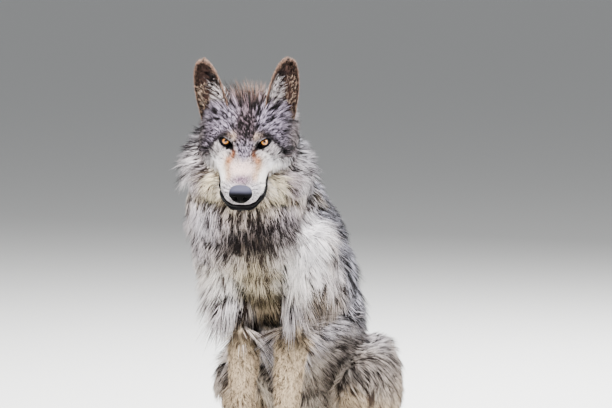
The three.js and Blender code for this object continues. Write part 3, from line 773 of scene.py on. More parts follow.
look_on_head = head_turned.transposed() @ LOOK
for side, name in ((1, "eye_left"), (-1, "eye_right")):
    centre = np.array([EYE_CENTRE.x * side, EYE_CENTRE.y, EYE_CENTRE.z])
    sideways = look_on_head.orthogonal().normalized()
    axes = np.array([sideways, look_on_head.cross(sideways), look_on_head])
    polar = np.r_[np.linspace(0.03, 0.75, EYE_RINGS // 2), np.linspace(0.85, 3.05, EYE_RINGS // 2)]
    around = np.linspace(0, 2 * np.pi, EYE_SPOKES, endpoint=False)
    polar, around = [grid.ravel() for grid in np.meshgrid(polar, around, indexing="ij")]
    polar, around = np.r_[0, polar, np.pi], np.r_[0, around, 0]
    off_axis = EYEBALL * np.sin(polar)
    in_front = polar < 1.2
    domed = EYEBALL + DOME * in_front * np.clip(1 - (off_axis / (IRIS_RADIUS + 0.9)) ** 2, 0, 1)
    local = np.stack([np.sin(polar) * np.cos(around), np.sin(polar) * np.sin(around), np.cos(polar)], 1)
    points = [on_head(*p) for p in centre + (domed[:, None] * local) @ axes]
    eyeball = built(name + "ball", points, ball_faces(EYE_RINGS, EYE_SPOKES), eye_finish, "amber_eye", name)
    rise_on_ball = points_of(eyeball.data)[:, 2] - on_head(*centre).z
    give_values(eyeball.data, "lit", 1 - 0.75 * ramp(rise_on_ball, 0.0015, 0.0060))  # the brow's shade
    give_values(eyeball.data, "from_pupil", np.where(in_front, off_axis / IRIS_RADIUS / 2, 1))
    spokes = np.stack([3 * np.cos(around), 3 * np.sin(around), 0.12 * off_axis], 1)
    layer = eyeball.data.attributes.new("rays", "FLOAT_VECTOR", "POINT")
    layer.data.foreach_set("vector", spokes.astype(np.float32).ravel())


# ---- Lid rims and lips --------------------------------------------------------------------------------
# Bare black skin: the rim of each lid, running down into the tear duct at the inner corner, and the lips
# from corner to corner of the closed mouth. Both are soft flattened rolls laid along lines on the hide.
RIM_STEPS, RIM_HALF_WIDTH, RIM_HALF_HEIGHT = 72, 0.00125, 0.0010
LIP_STEPS, LIPS_APART = 120, 0.0044  # in front the upper and the lower lip lie this far off their line
black_skin, nodes, links, shader = new_material("black skin", 0.55, 0.03)
shader.inputs["Base Color"].default_value = (0.0015, 0.0012, 0.0016, 1)
links.new(grained(nodes, 700, 4, 0.35, 0.0006).outputs["Normal"], shader.inputs["Normal"])

hide_tree = BVHTree.FromPolygons([Vector(p) for p in skin], [tuple(p.vertices) for p in hide_mesh.polygons])


def unit(vectors):
    """The vectors at unit length."""
    return vectors / np.maximum(np.linalg.norm(vectors, axis=1, keepdims=True), 1e-12)


def strip(path, normals, half_widths, half_heights, closed=False, sides=10):
    """Points and faces of a flattened cord along a path, with its broad side on the surface."""
    path, normals = np.array(path), np.array(normals)
    before, after = np.roll(path, 1, 0), np.roll(path, -1, 0)
    if not closed:
        before[0], after[-1] = path[0], path[-1]
    forward = unit(after - before)
    across = unit(np.cross(normals, forward))
    points = []
    for turn in np.linspace(0, 2 * np.pi, sides, endpoint=False):
        wide, high = np.cos(turn) * half_widths, np.sin(turn) * half_heights
        points.append(path + across * wide[:, None] + normals * high[:, None])
    points = np.stack(points, 1).reshape(-1, 3)
    rows = len(path) if closed else len(path) - 1
    faces = []
    for row in range(rows):
        low, high = row * sides, (row + 1) % len(path) * sides
        faces += [(low + k, low + (k + 1) % sides, high + (k + 1) % sides, high + k) for k in range(sides)]
    if not closed:
        faces += [tuple(range(sides)), tuple(range((len(path) - 1) * sides, len(path) * sides))]
    return points, faces


def joined(strips):
    """Several strips as one list of points and one of faces."""
    points, faces = [], []
    for some_points, some_faces in strips:
        faces += [tuple(i + len(points) for i in face) for face in some_faces]
        points += [tuple(p) for p in some_points]
    return points, faces


def smooth_path(stops, count):
    """Places evenly along a smooth curve through the stops."""
    stops = np.array(stops, float)
    for _ in range(4):
        drawn = np.empty((len(stops) * 2 - 2, 3))
        drawn[0::2] = 0.75 * stops[:-1] + 0.25 * stops[1:]
        drawn[1::2] = 0.25 * stops[:-1] + 0.75 * stops[1:]
        stops = np.vstack([stops[:1], drawn, stops[-1:]])
    far = np.r_[0, np.cumsum(np.linalg.norm(np.diff(stops, axis=0), axis=1))]
    return np.stack([np.interp(np.linspace(0, far[-1], count), far, axis) for axis in stops.T], 1)


lid_strips = []
for side in (1, -1):
    centre, along, across, gaze = eye_axes(side)
    half, upper, lower = OPENING
    around = np.linspace(0, 2 * np.pi, RIM_STEPS, endpoint=False)
    inner = np.maximum(0, -np.cos(around)) ** 10
    a = half * np.cos(around) * 1.02 - 3.6 * inner + SLIT_SHIFT[0]
    b = np.where(np.sin(around) > 0, upper, lower) * np.sin(around) * 1.02 - 1.0 * inner + SLIT_SHIFT[1]
    path, normals = [], []
    toward = head_turned @ gaze
    for x, y in zip(a, b):
        above = head_turned @ (centre + along * x + across * y + gaze * 40) / 1000 + between_eyes
        hit = hide_tree.ray_cast(above, -toward)
        path.append(hit[0] + toward * 0.0001)
        normals.append(toward)
    heavy = 0.85 + 0.8 * inner + 0.6 * (np.sin(around) < 0) * np.abs(np.sin(around))
    ring = np.stack([np.arange(RIM_STEPS), np.roll(np.arange(RIM_STEPS), -1)], 1)
    heights = np.full(RIM_STEPS, RIM_HALF_HEIGHT)
    lid_strips.append(strip(evened(np.array(path), ring, 2), normals, RIM_HALF_WIDTH * heavy, heights, True))
built("lid_rims", *joined(lid_strips), black_skin, "nose_leather", "head")

LIP_LINE = [  # the closed mouth, from the middle of its front to its left corner
    (0, -117, -76), (8, -115, -77), (17, -107, -78), (28, -90, -76), (37, -75, -74), (43, -60, -71),
    (47, -46, -66), (50, -34, -60), (49, -27, -54),
]
half_lip = [(-x, y, z) for x, y, z in LIP_LINE[:0:-1]]
lip_path = smooth_path(half_lip + LIP_LINE, LIP_STEPS)
path, normals = [], []
for stop in lip_path:
    spot_on_hide, normal, *_ = hide_tree.find_nearest(on_head(*stop))
    path.append(spot_on_hide + normal * (0.0012 + 0.0034 * min(abs(stop[0]) / 40, 1)))
    normals.append(normal + head_turned @ Vector((0, -0.4, 0.1)))
from_front = np.abs(np.linspace(-1, 1, LIP_STEPS))
lip_width = 0.0048 + 0.0012 * ramp(from_front, 0.30, 0.5) - 0.0042 * ramp(from_front, 0.78, 1.0)
lip_height = 0.0030 + 0.0020 * ramp(from_front, 0.3, 0.55) - 0.0038 * ramp(from_front, 0.90, 1.0)
chain = np.stack([np.arange(LIP_STEPS - 1), np.arange(1, LIP_STEPS)], 1)
path, normals = evened(np.array(path), chain, 3), unit(evened(np.array(normals), chain, 6))
downwards = unit(np.cross(normals, np.gradient(path, axis=0)))
downwards *= -np.sign(downwards[:, 2:])
part_way = (LIPS_APART * (1 - ramp(from_front, 0.30, 0.62)))[:, None] * downwards
lips = [strip(path + part_way * way_down, normals, lip_width, lip_height) for way_down in (-1, 1)]
built("lips", *joined(lips), black_skin, "nose_leather", "muzzle", "lower_jaw")


# ---- Nose ---------------------------------------------------------------------------------------------
# A block of black leather, broad and rounded above, with a nostril on each side that runs out into a
# slit, and a groove down the middle of its front.
NOSE_CENTRE, NOSE_HALVES = np.array([0, -121, -45.5]), np.array([22.2, 14.8, 17.8])
NOSE_RINGS, NOSE_SPOKES = 90, 120
polar, around = np.linspace(0.04, 3.10, NOSE_RINGS), np.linspace(0, 2 * np.pi, NOSE_SPOKES, endpoint=False)
polar, around = np.meshgrid(polar, around, indexing="ij")
polar, around = np.r_[0, polar.ravel(), np.pi], np.r_[0, around.ravel(), 0]
way_out = np.stack([np.sin(polar) * np.cos(around), -np.cos(polar), np.sin(polar) * np.sin(around)], 1)
boxy = (np.abs(way_out) ** 2.5).sum(1) ** (-1 / 2.5)
local = way_out * boxy[:, None] * NOSE_HALVES
local[:, 0] *= 1 - 0.26 * ramp(-local[:, 2], 0, 15)
local[:, 1] += 2.4 * ramp(-local[:, 2], 2, 15) * (local[:, 1] < 0)
inward = -unit(local)
aside = np.abs(local[:, 0])


def hollow(middle, halves):
    """1 at a place on each side of the nose, fading to 0 just past its half sizes."""
    away = (np.stack([aside, local[:, 1], local[:, 2]], 1) - middle) / halves
    return np.exp(-(away**2).sum(1) ** 1.5)


# Nostrils and their slits, the wings round them, and the groove.
carved = 6.5 * hollow((10.2, -12.5, -1.5), (4.3, 6, 3.7)) + 3.0 * hollow((16.5, -7.5, -5.0), (4.5, 7, 1.9))
carved -= 1.0 * hollow((10.5, -12.5, 4.2), (6.5, 6, 2.6)) + 0.8 * hollow((10, -12, -7.2), (6, 6, 2.2))
carved += 1.5 * np.exp(-((aside / 1.1) ** 2)) * ramp(-local[:, 1], 4, 9) * ramp(-local[:, 2], -5, 3)
carved *= local[:, 1] < 2
points = [on_head(*p) for p in NOSE_CENTRE + local + inward * carved[:, None]]
leather, nodes, links, shader = new_material("nose leather", 0.46, 0.02)
cobbles = nodes.new("ShaderNodeTexVoronoi")
cobbles.inputs["Scale"].default_value = 900
bump = nodes.new("ShaderNodeBump")
bump.inputs["Strength"].default_value = 0.3
bump.inputs["Distance"].default_value = 0.0005
places = nodes.new("ShaderNodeTexCoord")
links.new(places.outputs["Object"], cobbles.inputs["Vector"])
links.new(cobbles.outputs["Distance"], bump.inputs["Height"])
links.new(bump.outputs["Normal"], shader.inputs["Normal"])
# The leather is black, greyer and bluish towards its top: partly the paler grey of its dry top, partly a
# painted reflection of the sky.
black, greyed = (0.001, 0.001, 0.001), (0.055, 0.055, 0.080)
links.new(blended(nodes, links, reading(nodes, "dry_and_sheen"), black, greyed), shader.inputs["Base Color"])
nose_tip = built("nose_tip", points, ball_faces(NOSE_RINGS, NOSE_SPOKES), leather, "nose_leather", "nose")
give_values(nose_tip.data, "dry_and_sheen", ramp(0.87 * local[:, 2] + 0.5 * local[:, 1], -3, 9) ** 1.5)


# ---- Claws --------------------------------------------------------------------------------------------
# Dark streaked horn, four claws on each foot and a dewclaw inside each foreleg. Each keeps the bend of its
# solid, with the facets rounded off, and is set back until its root is fast in the hide.
CLAW_ROOT, CLAW_SEAT = 0.003, 0.0045  # how much of a claw is its root, and how deep that sits
horn, nodes, links, shader = new_material("claw horn", 0.4)
streaks = grained(nodes, 240, 2).outputs["Value"]
dark, pale = (0.020, 0.015, 0.012), (0.085, 0.062, 0.048)
links.new(blended(nodes, links, streaks, dark, pale), shader.inputs["Base Color"])
claw_nodes = sorted(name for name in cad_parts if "claw" in name)
claw_form = bmesh.new()
for name in claw_nodes:
    claw_form.from_mesh(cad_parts[name].data)
    claw_form.verts.ensure_lookup_table()
    corners = claw_form.verts[-len(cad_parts[name].data.vertices):]
    top = max(corner.co.z for corner in corners)
    roots = [corner.co for corner in corners if corner.co.z > top - CLAW_ROOT]
    root = sum(roots, Vector()) / len(roots)
    spot_on_hide, normal, *_ = hide_tree.find_nearest(root)
    if (root - spot_on_hide).dot(normal) > -CLAW_SEAT:
        set_back = spot_on_hide - CLAW_SEAT * normal - root
        set_back.z = max(set_back.z, 0.0)
        for corner in corners:
            corner.co += set_back
bmesh.ops.remove_doubles(claw_form, verts=claw_form.verts, dist=1e-5)
claw_mesh = bpy.data.meshes.new("claws")
claw_form.to_mesh(claw_mesh)
claw_form.free()
claw_mesh = sculpted(claw_mesh, "SUBSURF", levels=2, render_levels=2)
claw_mesh.materials.clear()
claw_faces = [tuple(face.vertices) for face in claw_mesh.polygons]
built("claws", points_of(claw_mesh), claw_faces, horn, "claw_horn", *claw_nodes)


# ---- Lie of the coat ----------------------------------------------------------------------------------
# The coat lies away from the nose over the whole body, and hangs where it is long. At each point of the
# hide this gives the lay, the bend of the body along it, and the coat's depth.
def way_from_nose():
    """How far each point of the hide is from the tip of the nose, over the hide."""
    ends = np.r_[edges, edges[:, ::-1]]
    ends = ends[np.argsort(ends[:, 0], kind="stable")]
    firsts = np.searchsorted(ends[:, 0], np.arange(len(skin) + 1)).tolist()
    steps = np.linalg.norm(skin[ends[:, 0]] - skin[ends[:, 1]], axis=1).tolist()
    others = ends[:, 1].tolist()
    nose_tip = np.array(on_head(0, -129, -43))
    away = np.linalg.norm(skin - nose_tip, axis=1)
    way = np.full(len(skin), np.inf)
    queue = [(float(away[i]), int(i)) for i in np.flatnonzero(away < 0.016)]
    heapq.heapify(queue)
    way = way.tolist()
    while queue:
        far, here = heapq.heappop(queue)
        if far >= way[here]:
            continue
        way[here] = far
        for step in range(firsts[here], firsts[here + 1]):
            if far + steps[step] < way[others[step]]:
                heapq.heappush(queue, (far + steps[step], others[step]))
    way = np.array(way)
    return np.where(np.isfinite(way), way, 0)


def flattened(vectors, normals):
    """Vectors laid down into the surface, at unit length."""
    return unit(vectors - (vectors * normals).sum(1, keepdims=True) * normals)


def along_edges(values):
    """The sum at each point, over the edges that leave it, of a table of values for each edge's two ends."""
    total = 0
    for end, table in enumerate(values):
        total = total + np.stack([np.bincount(edges[:, end], column, len(skin)) for column in table.T], 1)
    return total


skin_normals = unit(evened(normals_of(hide_mesh), edges, 8))
way = evened(way_from_nose(), edges, 6)
step = skin[edges[:, 1]] - skin[edges[:, 0]]
climb = (way[edges[:, 1]] - way[edges[:, 0]])[:, None] * step / (step**2).sum(1, keepdims=True)
lay = flattened(along_edges((climb, climb)), skin_normals)
meant = coat_depth(skin, skin_kinds)
coat = evened(np.clip(skin_cover, 0.8 * meant, 1.7 * meant + 0.003), edges, 16)
aside, down, back = front_of(skin)
on_ruff = np.isin(skin_kinds, ["head", "lower_jaw"]) * ramp(back, 15, 70) * ramp(down, -70, -10)
on_ruff *= ramp(aside, 40, 75)
cheek = np.isin(skin_kinds, ["head", "lower_jaw"]) * ramp(back, -22, 25) * ramp(down, 10, 50)
cheek *= ramp(aside, 34, 58)
hang = 2.2 * on_ruff + 2.4 * cheek
hang += 0.8 * np.isin(skin_kinds, ["neck", "chest", "upper_arm"]) * ramp(-skin[:, 1], 0.02, 0.10)
hang += 1.8 * (skin_kinds == "neck") * ramp(down, -20, 40) * (1 - ramp(back, 110, 170))
lay = lay + hang[:, None] * np.array([0, 0, -1.0])
lay += (0.2 * on_ruff * np.sign(seen_from_head(skin)[:, 0]))[:, None] * np.array(head_turned.col[0])
lay = flattened(lay, skin_normals)
for _ in range(12):
    lay = flattened(evened(lay, edges, 3), skin_normals)
head_place = seen_from_head(skin)
rims = [lid_place(head_place, side) for side in (1, -1)]
for (rim, a, b, c), side in zip(rims, (1, -1)):
    centre, along, across, gaze = eye_axes(side)
    away = a[:, None] * np.array(head_turned @ along) + 2.2 * b[:, None] * np.array(head_turned @ across)
    lay = flattened(lay + 1.6 * (1 - ramp(rim, 1.2, 2.4))[:, None] * unit(away), skin_normals)
turn_along = skin_normals[edges[:, 1]] - skin_normals[edges[:, 0]]
sides = []
for end in (0, 1):
    onward = (step * lay[edges[:, end]]).sum(1)
    sides.append(np.stack([(turn_along * lay[edges[:, end]]).sum(1) * onward, onward**2], 1))
bends = along_edges(sides)
bending = np.clip(evened(bends[:, 0], edges, 8) / np.maximum(evened(bends[:, 1], edges, 8), 1e-12), -25, 30)
bending = np.clip(evened(bending, edges, 40), -9, 14)
hanging = np.isin(skin_kinds, ["chest", "upper_arm"]) * ramp(-lay[:, 2], 0.3, 0.8)
hanging = evened(hanging * (1 - ramp(skin[:, 2], 0.40, 0.50)), edges, 10)
bending *= 1 - 0.9 * hanging
bending += 4 * evened(on_ruff, edges, 12)


# ---- Coat ---------------------------------------------------------------------------------------------
# Tufts of hair as thin closed locks. Each rises from the hide, bends down over the body and ends near
# the coat's outside; neighbours draw together in clumps. Short hair is one spike, long hair a bent lock.
SHORTEST_HAIR, LENGTH_TO_DEPTH = 0.0032, 1.9  # a tuft's length, from the depth of the coat
THINNEST_HAIR, WIDTH_TO_LENGTH = 0.0006, 0.021  # a tuft's width, from its length
LONG_TUFT = 0.021  # tufts longer than this are bent
PER_CLUMP, EARS_PER_CLUMP = 6, 5  # tufts that draw together
LIP_MARGIN = (0.0062, 0.0076)  # how far from the middle of a lip the hair starts, and where it is full
ROOT_DEPTH = 0.0006  # how far each tuft starts inside the hide
BEND_AT = 0.38  # how far along a long tuft it is widest
OVER_FLOOR = 0.0005  # no hair comes lower than this
PATCH = 0.003  # size of a tuft's patch on the map for baking
chance = np.random.default_rng(7)


def banded_and_shaded():
    """A node group that shades a hair from its root, darkened as painted shade, through its own colour, to
    its tip.
    """
    group = bpy.data.node_groups.new("hair banding and root shade", "ShaderNodeTree")
    for name, kind in (("Hair", "NodeSocketColor"), ("Along", "NodeSocketFloat"), ("Tip", "NodeSocketFloat")):
        group.interface.new_socket(name, in_out="INPUT", socket_type=kind)
    group.interface.new_socket("Color", in_out="OUTPUT", socket_type="NodeSocketColor")
    inner, joins = group.nodes, group.links
    start, end = inner.new("NodeGroupInput"), inner.new("NodeGroupOutput")
    # Painted shade: towards its root each hair darkens to 0.14 of its colour, as the shade deep between the
    # locks.
    root = inner.new("ShaderNodeMapRange")
    for name, value in (("To Min", 0.14), ("From Min", 0.15), ("From Max", 0.62)):
        root.inputs[name].default_value = value
    joins.new(start.outputs["Along"], root.inputs["Value"])
    shaded = inner.new("ShaderNodeVectorMath")
    shaded.operation = "SCALE"
    joins.new(start.outputs["Hair"], shaded.inputs[0])
    joins.new(root.outputs["Result"], shaded.inputs["Scale"])
    ending = inner.new("ShaderNodeMapRange")
    for name, value in (("From Min", 0.62), ("From Max", 0.86)):
        ending.inputs[name].default_value = value
    joins.new(start.outputs["Along"], ending.inputs["Value"])
    amount = inner.new("ShaderNodeMath")
    amount.operation = "MULTIPLY"
    joins.new(ending.outputs["Result"], amount.inputs[0])
    joins.new(start.outputs["Tip"], amount.inputs[1])
    tipped = inner.new("ShaderNodeMix")
    tipped.data_type = "RGBA"
    tipped.inputs["B"].default_value = (0.012, 0.010, 0.012, 1)
    joins.new(amount.outputs["Value"], tipped.inputs["Factor"])
    joins.new(shaded.outputs["Vector"], tipped.inputs["A"])
    joins.new(tipped.outputs["Result"], end.inputs["Color"])
    return group


fur, nodes, links, shader = new_material("coat", 0.55, 0.12)
banding_and_shade = nodes.new("ShaderNodeGroup")
banding_and_shade.node_tree = banded_and_shaded()
links.new(reading(nodes, "coat_colour", "Color"), banding_and_shade.inputs["Hair"])
links.new(reading(nodes, "along"), banding_and_shade.inputs["Along"])
links.new(reading(nodes, "tip"), banding_and_shade.inputs["Tip"])
links.new(banding_and_shade.outputs["Color"], shader.inputs["Base Color"])

hide_mesh.calc_loop_triangles()
triangles = np.empty(len(hide_mesh.loop_triangles) * 3, np.int32)
hide_mesh.loop_triangles.foreach_get("vertices", triangles)
triangles = triangles.reshape(-1, 3)
corner = skin[triangles]
areas = np.linalg.norm(np.cross(corner[:, 1] - corner[:, 0], corner[:, 2] - corner[:, 0]), axis=1) / 2


def curve_of(root, normal, lie, bend, reach, rise, share):
    """Places on a tuft at a share of its length, over a body that bends as given."""
    bend = np.where(np.abs(bend) < 1e-3, 1e-3, bend)[:, None]
    turned = bend * (reach * share)[:, None]
    body = root + lie * np.sin(turned) / bend - normal * (1 - np.cos(turned)) / bend
    outward = normal * np.cos(turned) + lie * np.sin(turned)
    return body + outward * (rise * (1 - (1 - share) ** 1.8))[:, None]


def tufts(
    name, roots, normals, lies, bends, lengths, widths, rises, colours, tips, patches, clumps, hold, pale
):
    """A piece of the coat: one closed tuft at each root. Hair of a tuft is drawn to its clump as much as
    `hold` says, and pale hair gets less of the painted shade at its root."""
    count = len(roots)
    sideways = np.cross(normals, lies)
    group_yaw, group_long = chance.normal(0, 0.16, count)[clumps], chance.normal(1, 0.12, count)[clumps]
    yaw = group_yaw + chance.normal(0, 0.13, count)
    lies = unit(lies * np.cos(yaw)[:, None] + sideways * np.sin(yaw)[:, None])
    lengths = lengths * group_long * np.clip(chance.normal(1, 0.16, count), 0.55, 1.4)
    rises = np.minimum(rises * np.clip(chance.normal(0.94, 0.14, count), 0.5, 1.2), 0.62 * lengths)
    reach = np.sqrt(np.maximum(lengths**2 - rises**2, (0.45 * lengths) ** 2))
    long = LONG_TUFT < float(np.median(lengths))
    shares = (0.0, BEND_AT, 1.0) if long else (0.0, 1.0)
    centres = [curve_of(roots, normals, lies, bends, reach, rises, share) for share in shares]
    for level, share in enumerate(shares):
        pull = hold * share**1.3
        centres[level] = centres[level] + (centres[level][clumps] - centres[level]) * pull
    across = unit(np.cross(normals, centres[-1] - centres[0]))
    spin = chance.uniform(-0.7, 0.7, count)[:, None]
    upward = unit(np.cross(centres[-1] - centres[0], across))
    across, upward = [
        across * np.cos(spin) + upward * np.sin(spin), upward * np.cos(spin) - across * np.sin(spin)
    ]
    half = (widths / 2)[:, None]
    sunk = -ROOT_DEPTH * normals
    rows = []
    if long:
        rows.append(centres[0] + sunk)
        sunk = 0.0
    for turn, size in ((-1.0, 0.0), (1.0, 0.0), (0.0, 0.75)):
        rows.append(centres[-2] + across * half * turn + upward * half * (size - 0.25) + sunk)
    rows.append(centres[-1])
    points = np.stack(rows, 1)
    points[..., 2] = np.maximum(points[..., 2], OVER_FLOOR)
    per = points.shape[1]
    if long:
        faces = [(0, 2, 1), (0, 3, 2), (0, 1, 3), (1, 2, 4), (2, 3, 4), (3, 1, 4)]
    else:
        faces = [(0, 2, 1), (0, 1, 3), (1, 2, 3), (2, 0, 3)]
    faces = np.array(faces)
    loops = (np.arange(count)[:, None, None] * per + faces).reshape(-1)
    mesh = bpy.data.meshes.new(name)
    mesh.vertices.add(count * per)
    mesh.loops.add(len(loops))
    mesh.polygons.add(len(loops) // 3)
    mesh.vertices.foreach_set("co", points.astype(np.float32).ravel())
    mesh.loops.foreach_set("vertex_index", loops.astype(np.int32))
    mesh.polygons.foreach_set("loop_start", np.arange(0, len(loops), 3, dtype=np.int32))
    mesh.polygons.foreach_set("use_smooth", np.ones(len(loops) // 3, bool))
    mesh.update(calc_edges=True)
    levels = np.array([0.0] * (1 if long else 3) + [BEND_AT] * (3 if long else 0) + [1.0])
    give_colours(mesh, "coat_colour", np.repeat(colours, per, 0))
    # Pale hair starts further along, so it gets less of the painted shade at its root.
    give_values(mesh, "along", (levels + (1 - levels) * 0.42 * pale[:, None]).ravel())
    give_values(mesh, "tip", np.repeat(tips, per))
    wide = np.tile(([0.5] if long else []) + [0.0, 1.0, 0.5, 0.5], count)
    spots = np.stack([wide, np.tile(levels, count)], 1) * PATCH + np.repeat(patches, per, 0)
    layer = mesh.uv_layers.new(name="OFBake")
    layer.data.foreach_set("uv", np.clip(spots, 0, 1)[loops].astype(np.float32).ravel())
    mesh.materials.append(fur)
    piece = bpy.data.objects.new(name, mesh)
    bpy.context.collection.objects.link(piece)
    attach(piece, "root")
    return piece


def clumped(roots, per_clump):
    """For each root, the root that its clump gathers round."""
    order = chance.permutation(len(roots))
    heads = order[: max(1, len(roots) // per_clump)]
    tree = KDTree(len(heads))
    for head in heads:
        tree.insert(Vector(roots[head]), int(head))
    tree.balance()
    return np.array([tree.find(Vector(root))[1] for root in roots])


def unwrapped(chosen):
    """An unwrap of part of the hide: where each corner of its triangles lies on the map."""
    used, compact = np.unique(triangles[chosen], return_inverse=True)
    patch = bpy.data.meshes.new("patch")
    patch.from_pydata(skin[used], [], compact.reshape(-1, 3))
    block = bpy.data.objects.new("patch", patch)
    bpy.context.collection.objects.link(block)
    bpy.context.view_layer.objects.active = block
    block.select_set(True)
    bpy.ops.object.mode_set(mode="EDIT")
    bpy.ops.mesh.select_all(action="SELECT")
    bpy.ops.uv.smart_project(angle_limit=1.15, island_margin=0.004)
    bpy.ops.object.mode_set(mode="OBJECT")
    spots = np.empty(len(patch.loops) * 2, np.float32)
    patch.uv_layers.active.data.foreach_get("uv", spots)
    bpy.data.objects.remove(block)
    bpy.data.meshes.remove(patch)
    return spots.reshape(-1, 3, 2).astype(float)


# The hairs' length follows the coat's depth. None grow on the lids, the lips or under the paws.
hair_length = SHORTEST_HAIR + LENGTH_TO_DEPTH * coat
forehead = (skin_kinds == "head") * (1 - ramp(down, 0, 30)) * (1 - ramp(back, 40, 75))
hair_length *= 1 - 0.3 * (skin_kinds == "forearm") - 0.5 * np.isin(skin_kinds, ["forefoot", "hindfoot"])
hair_length *= 1 - 0.58 * forehead - 0.35 * np.isin(skin_kinds, ["muzzle", "lower_jaw"])
hair_length *= 1 - 0.2 * evened(on_ruff, edges, 20) - 0.16 * (skin_kinds == "tail_end")
crown = np.isin(skin_kinds, ["head", "neck"]) * ramp(back, 30, 60) * (1 - ramp(back, 120, 170))
crown = evened(crown * (1 - ramp(aside, 46, 76)) * ramp(head_place[:, 2], 0, 30), edges, 12)
hair_length += 0.014 * crown
lift = 1 + 0.9 * crown - 0.3 * evened(on_ruff, edges, 12)
cheek_front = np.isin(skin_kinds, ["head", "muzzle"]) * ramp(back, -45, 0) * ramp(aside, 42, 62)
hair_length += 0.012 * cheek_front * ramp(down, 0, 30) * (1 - ramp(down, 80, 110))
hair_length = evened(hair_length, edges, 10)
hair_width = THINNEST_HAIR + WIDTH_TO_LENGTH * hair_length
from_eye = np.minimum(*[rim for rim, *_ in rims])
hair_length *= 0.32 + 0.68 * ramp(from_eye, 1.2, 3.0)
growth = ramp(from_eye, 1.14, 1.3)
nose_away = (head_place - NOSE_CENTRE) / NOSE_HALVES
growth *= ramp(np.linalg.norm(nose_away, axis=1), 0.98, 1.06)
growth *= 1 - np.isin(skin_kinds, ["forefoot", "hindfoot"]) * (1 - ramp(skin[:, 2], 0.004, 0.010))
lip_tree = KDTree(2 * len(path))
for number, stop in enumerate(np.vstack([path - part_way, path + part_way])):
    lip_tree.insert(Vector(stop), number)
lip_tree.balance()
from_lips = np.full(len(skin), 1.0)
near_mouth = np.isin(skin_kinds, ["muzzle", "lower_jaw"]) | ((skin_kinds == "head") & (down > 40))
from_lips[near_mouth] = [lip_tree.find(Vector(p))[2] for p in skin[near_mouth]]
growth *= ramp(from_lips, *LIP_MARGIN)
hair_length *= 0.3 + 0.7 * ramp(from_lips, 0.005, 0.022)
hair_length *= 1 + (0.4 + 0.5 * (skin_kinds == "chest")) * hanging
seen_at = skin + lay * (0.72 * hair_length)[:, None] + skin_normals * (0.8 * coat)[:, None]
hair_marks = settled(markings(seen_at, skin_kinds))
crowding = growth / (hair_width * hair_length)

# The pieces of the coat: where each grows, how many tufts it has, what it covers, and its slot.
snout, skull = np.isin(skin_kinds, ["muzzle", "lower_jaw"]), skin_kinds == "head"
behind_face, low_on_head, front_half = back >= 22, head_place[:, 2] <= -20, skin[:, 1] < -0.05
REGIONS = {
    "coat_face": (snout | (skull & ~behind_face), 45000, ["muzzle", "lower_jaw", "head"], "face_fur"),
    "coat_crown": (skull & behind_face & ~low_on_head, 14000, ["head"], "head_fur"),
    "coat_cheeks": (skull & behind_face & low_on_head, 15000, ["head"], "head_fur"),
    "coat_neck": (skin_kinds == "neck", 30000, ["neck"], "ruff_fur"),
    "coat_chest": ((skin_kinds == "chest") & front_half, 32000, ["chest"], "ruff_fur"),
    "coat_back": ((skin_kinds == "chest") & ~front_half, 18000, ["chest"], "body_fur"),
    "coat_flanks": (skin_kinds == "belly", 22000, ["belly"], "body_fur"),
    "coat_haunches": (
        np.isin(skin_kinds, ["rump", "thigh"]), 22000, ["rump", "thigh_left", "thigh_right"], "body_fur"
    ),
    "coat_forelegs": (
        np.isin(skin_kinds, ["upper_arm", "forearm", "forefoot"]), 23000,
        ["upper_arm_left", "upper_arm_right", "forearm_left", "forearm_right"], "leg_fur"
    ),
    "coat_hindlegs": (
        np.isin(skin_kinds, ["shank", "hindfoot"]), 22000,
        ["shank_left", "shank_right", "hindfoot_left", "hindfoot_right"], "leg_fur"
    ),
    "coat_tail": (np.char.startswith(skin_kinds, "tail"), 12000, ["tail_root", "tail_end"], "body_fur"),
}
region_of_triangle = np.zeros(len(triangles), int)
for number, (grows, *_) in enumerate(REGIONS.values()):
    region_of_triangle[grows[triangles[:, 0]]] = number
fullness = crowding[triangles].mean(1) * areas
thinned = 1.0

for number, (name, (_, how_many, covered, slot)) in enumerate(REGIONS.items()):
    in_region = np.flatnonzero(region_of_triangle == number)
    count = int(how_many * thinned)
    odds = fullness[in_region] / fullness[in_region].sum()
    picked = chance.choice(len(in_region), count, p=odds)
    picked.sort()
    a, b = np.sqrt(chance.random(count)), chance.random(count)
    blend = np.stack([1 - a, a * (1 - b), a * b], 1)
    held = triangles[in_region[picked]]

    def at(values):
        """The hide's values at each root."""
        table = values[held]
        return (table * blend.reshape(count, 3, *[1] * (table.ndim - 2))).sum(1)

    marks = at(hair_marks)
    roots = at(skin)
    bent = np.median(at(hair_length)) > LONG_TUFT
    clumps = clumped(roots, PER_CLUMP)
    own = 0.5 if name == "coat_face" else 0.2
    draws = own * chance.random(count) + (1 - own) * chance.random(count)[clumps]
    lightness = np.clip(chance.normal(1, 0.13, count), 0.6, 1.4)[:, None]
    colours = hair_colours(marks, draws) * lightness
    patches = (unwrapped(in_region)[picked] * blend[..., None]).sum(1)
    normals = unit(at(skin_normals))
    lies = flattened(at(lay), normals)
    piece = tufts(
        name, roots, normals, lies, at(bending), at(hair_length), at(hair_width), at(coat * lift),
        colours, marks[:, 7] * chance.random(count) ** 0.5, patches, clumps, 0.5 if bent else 0.3,
        1 - ramp(marks[:, 6], 0.10, 0.30),
    )
    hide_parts(*covered)


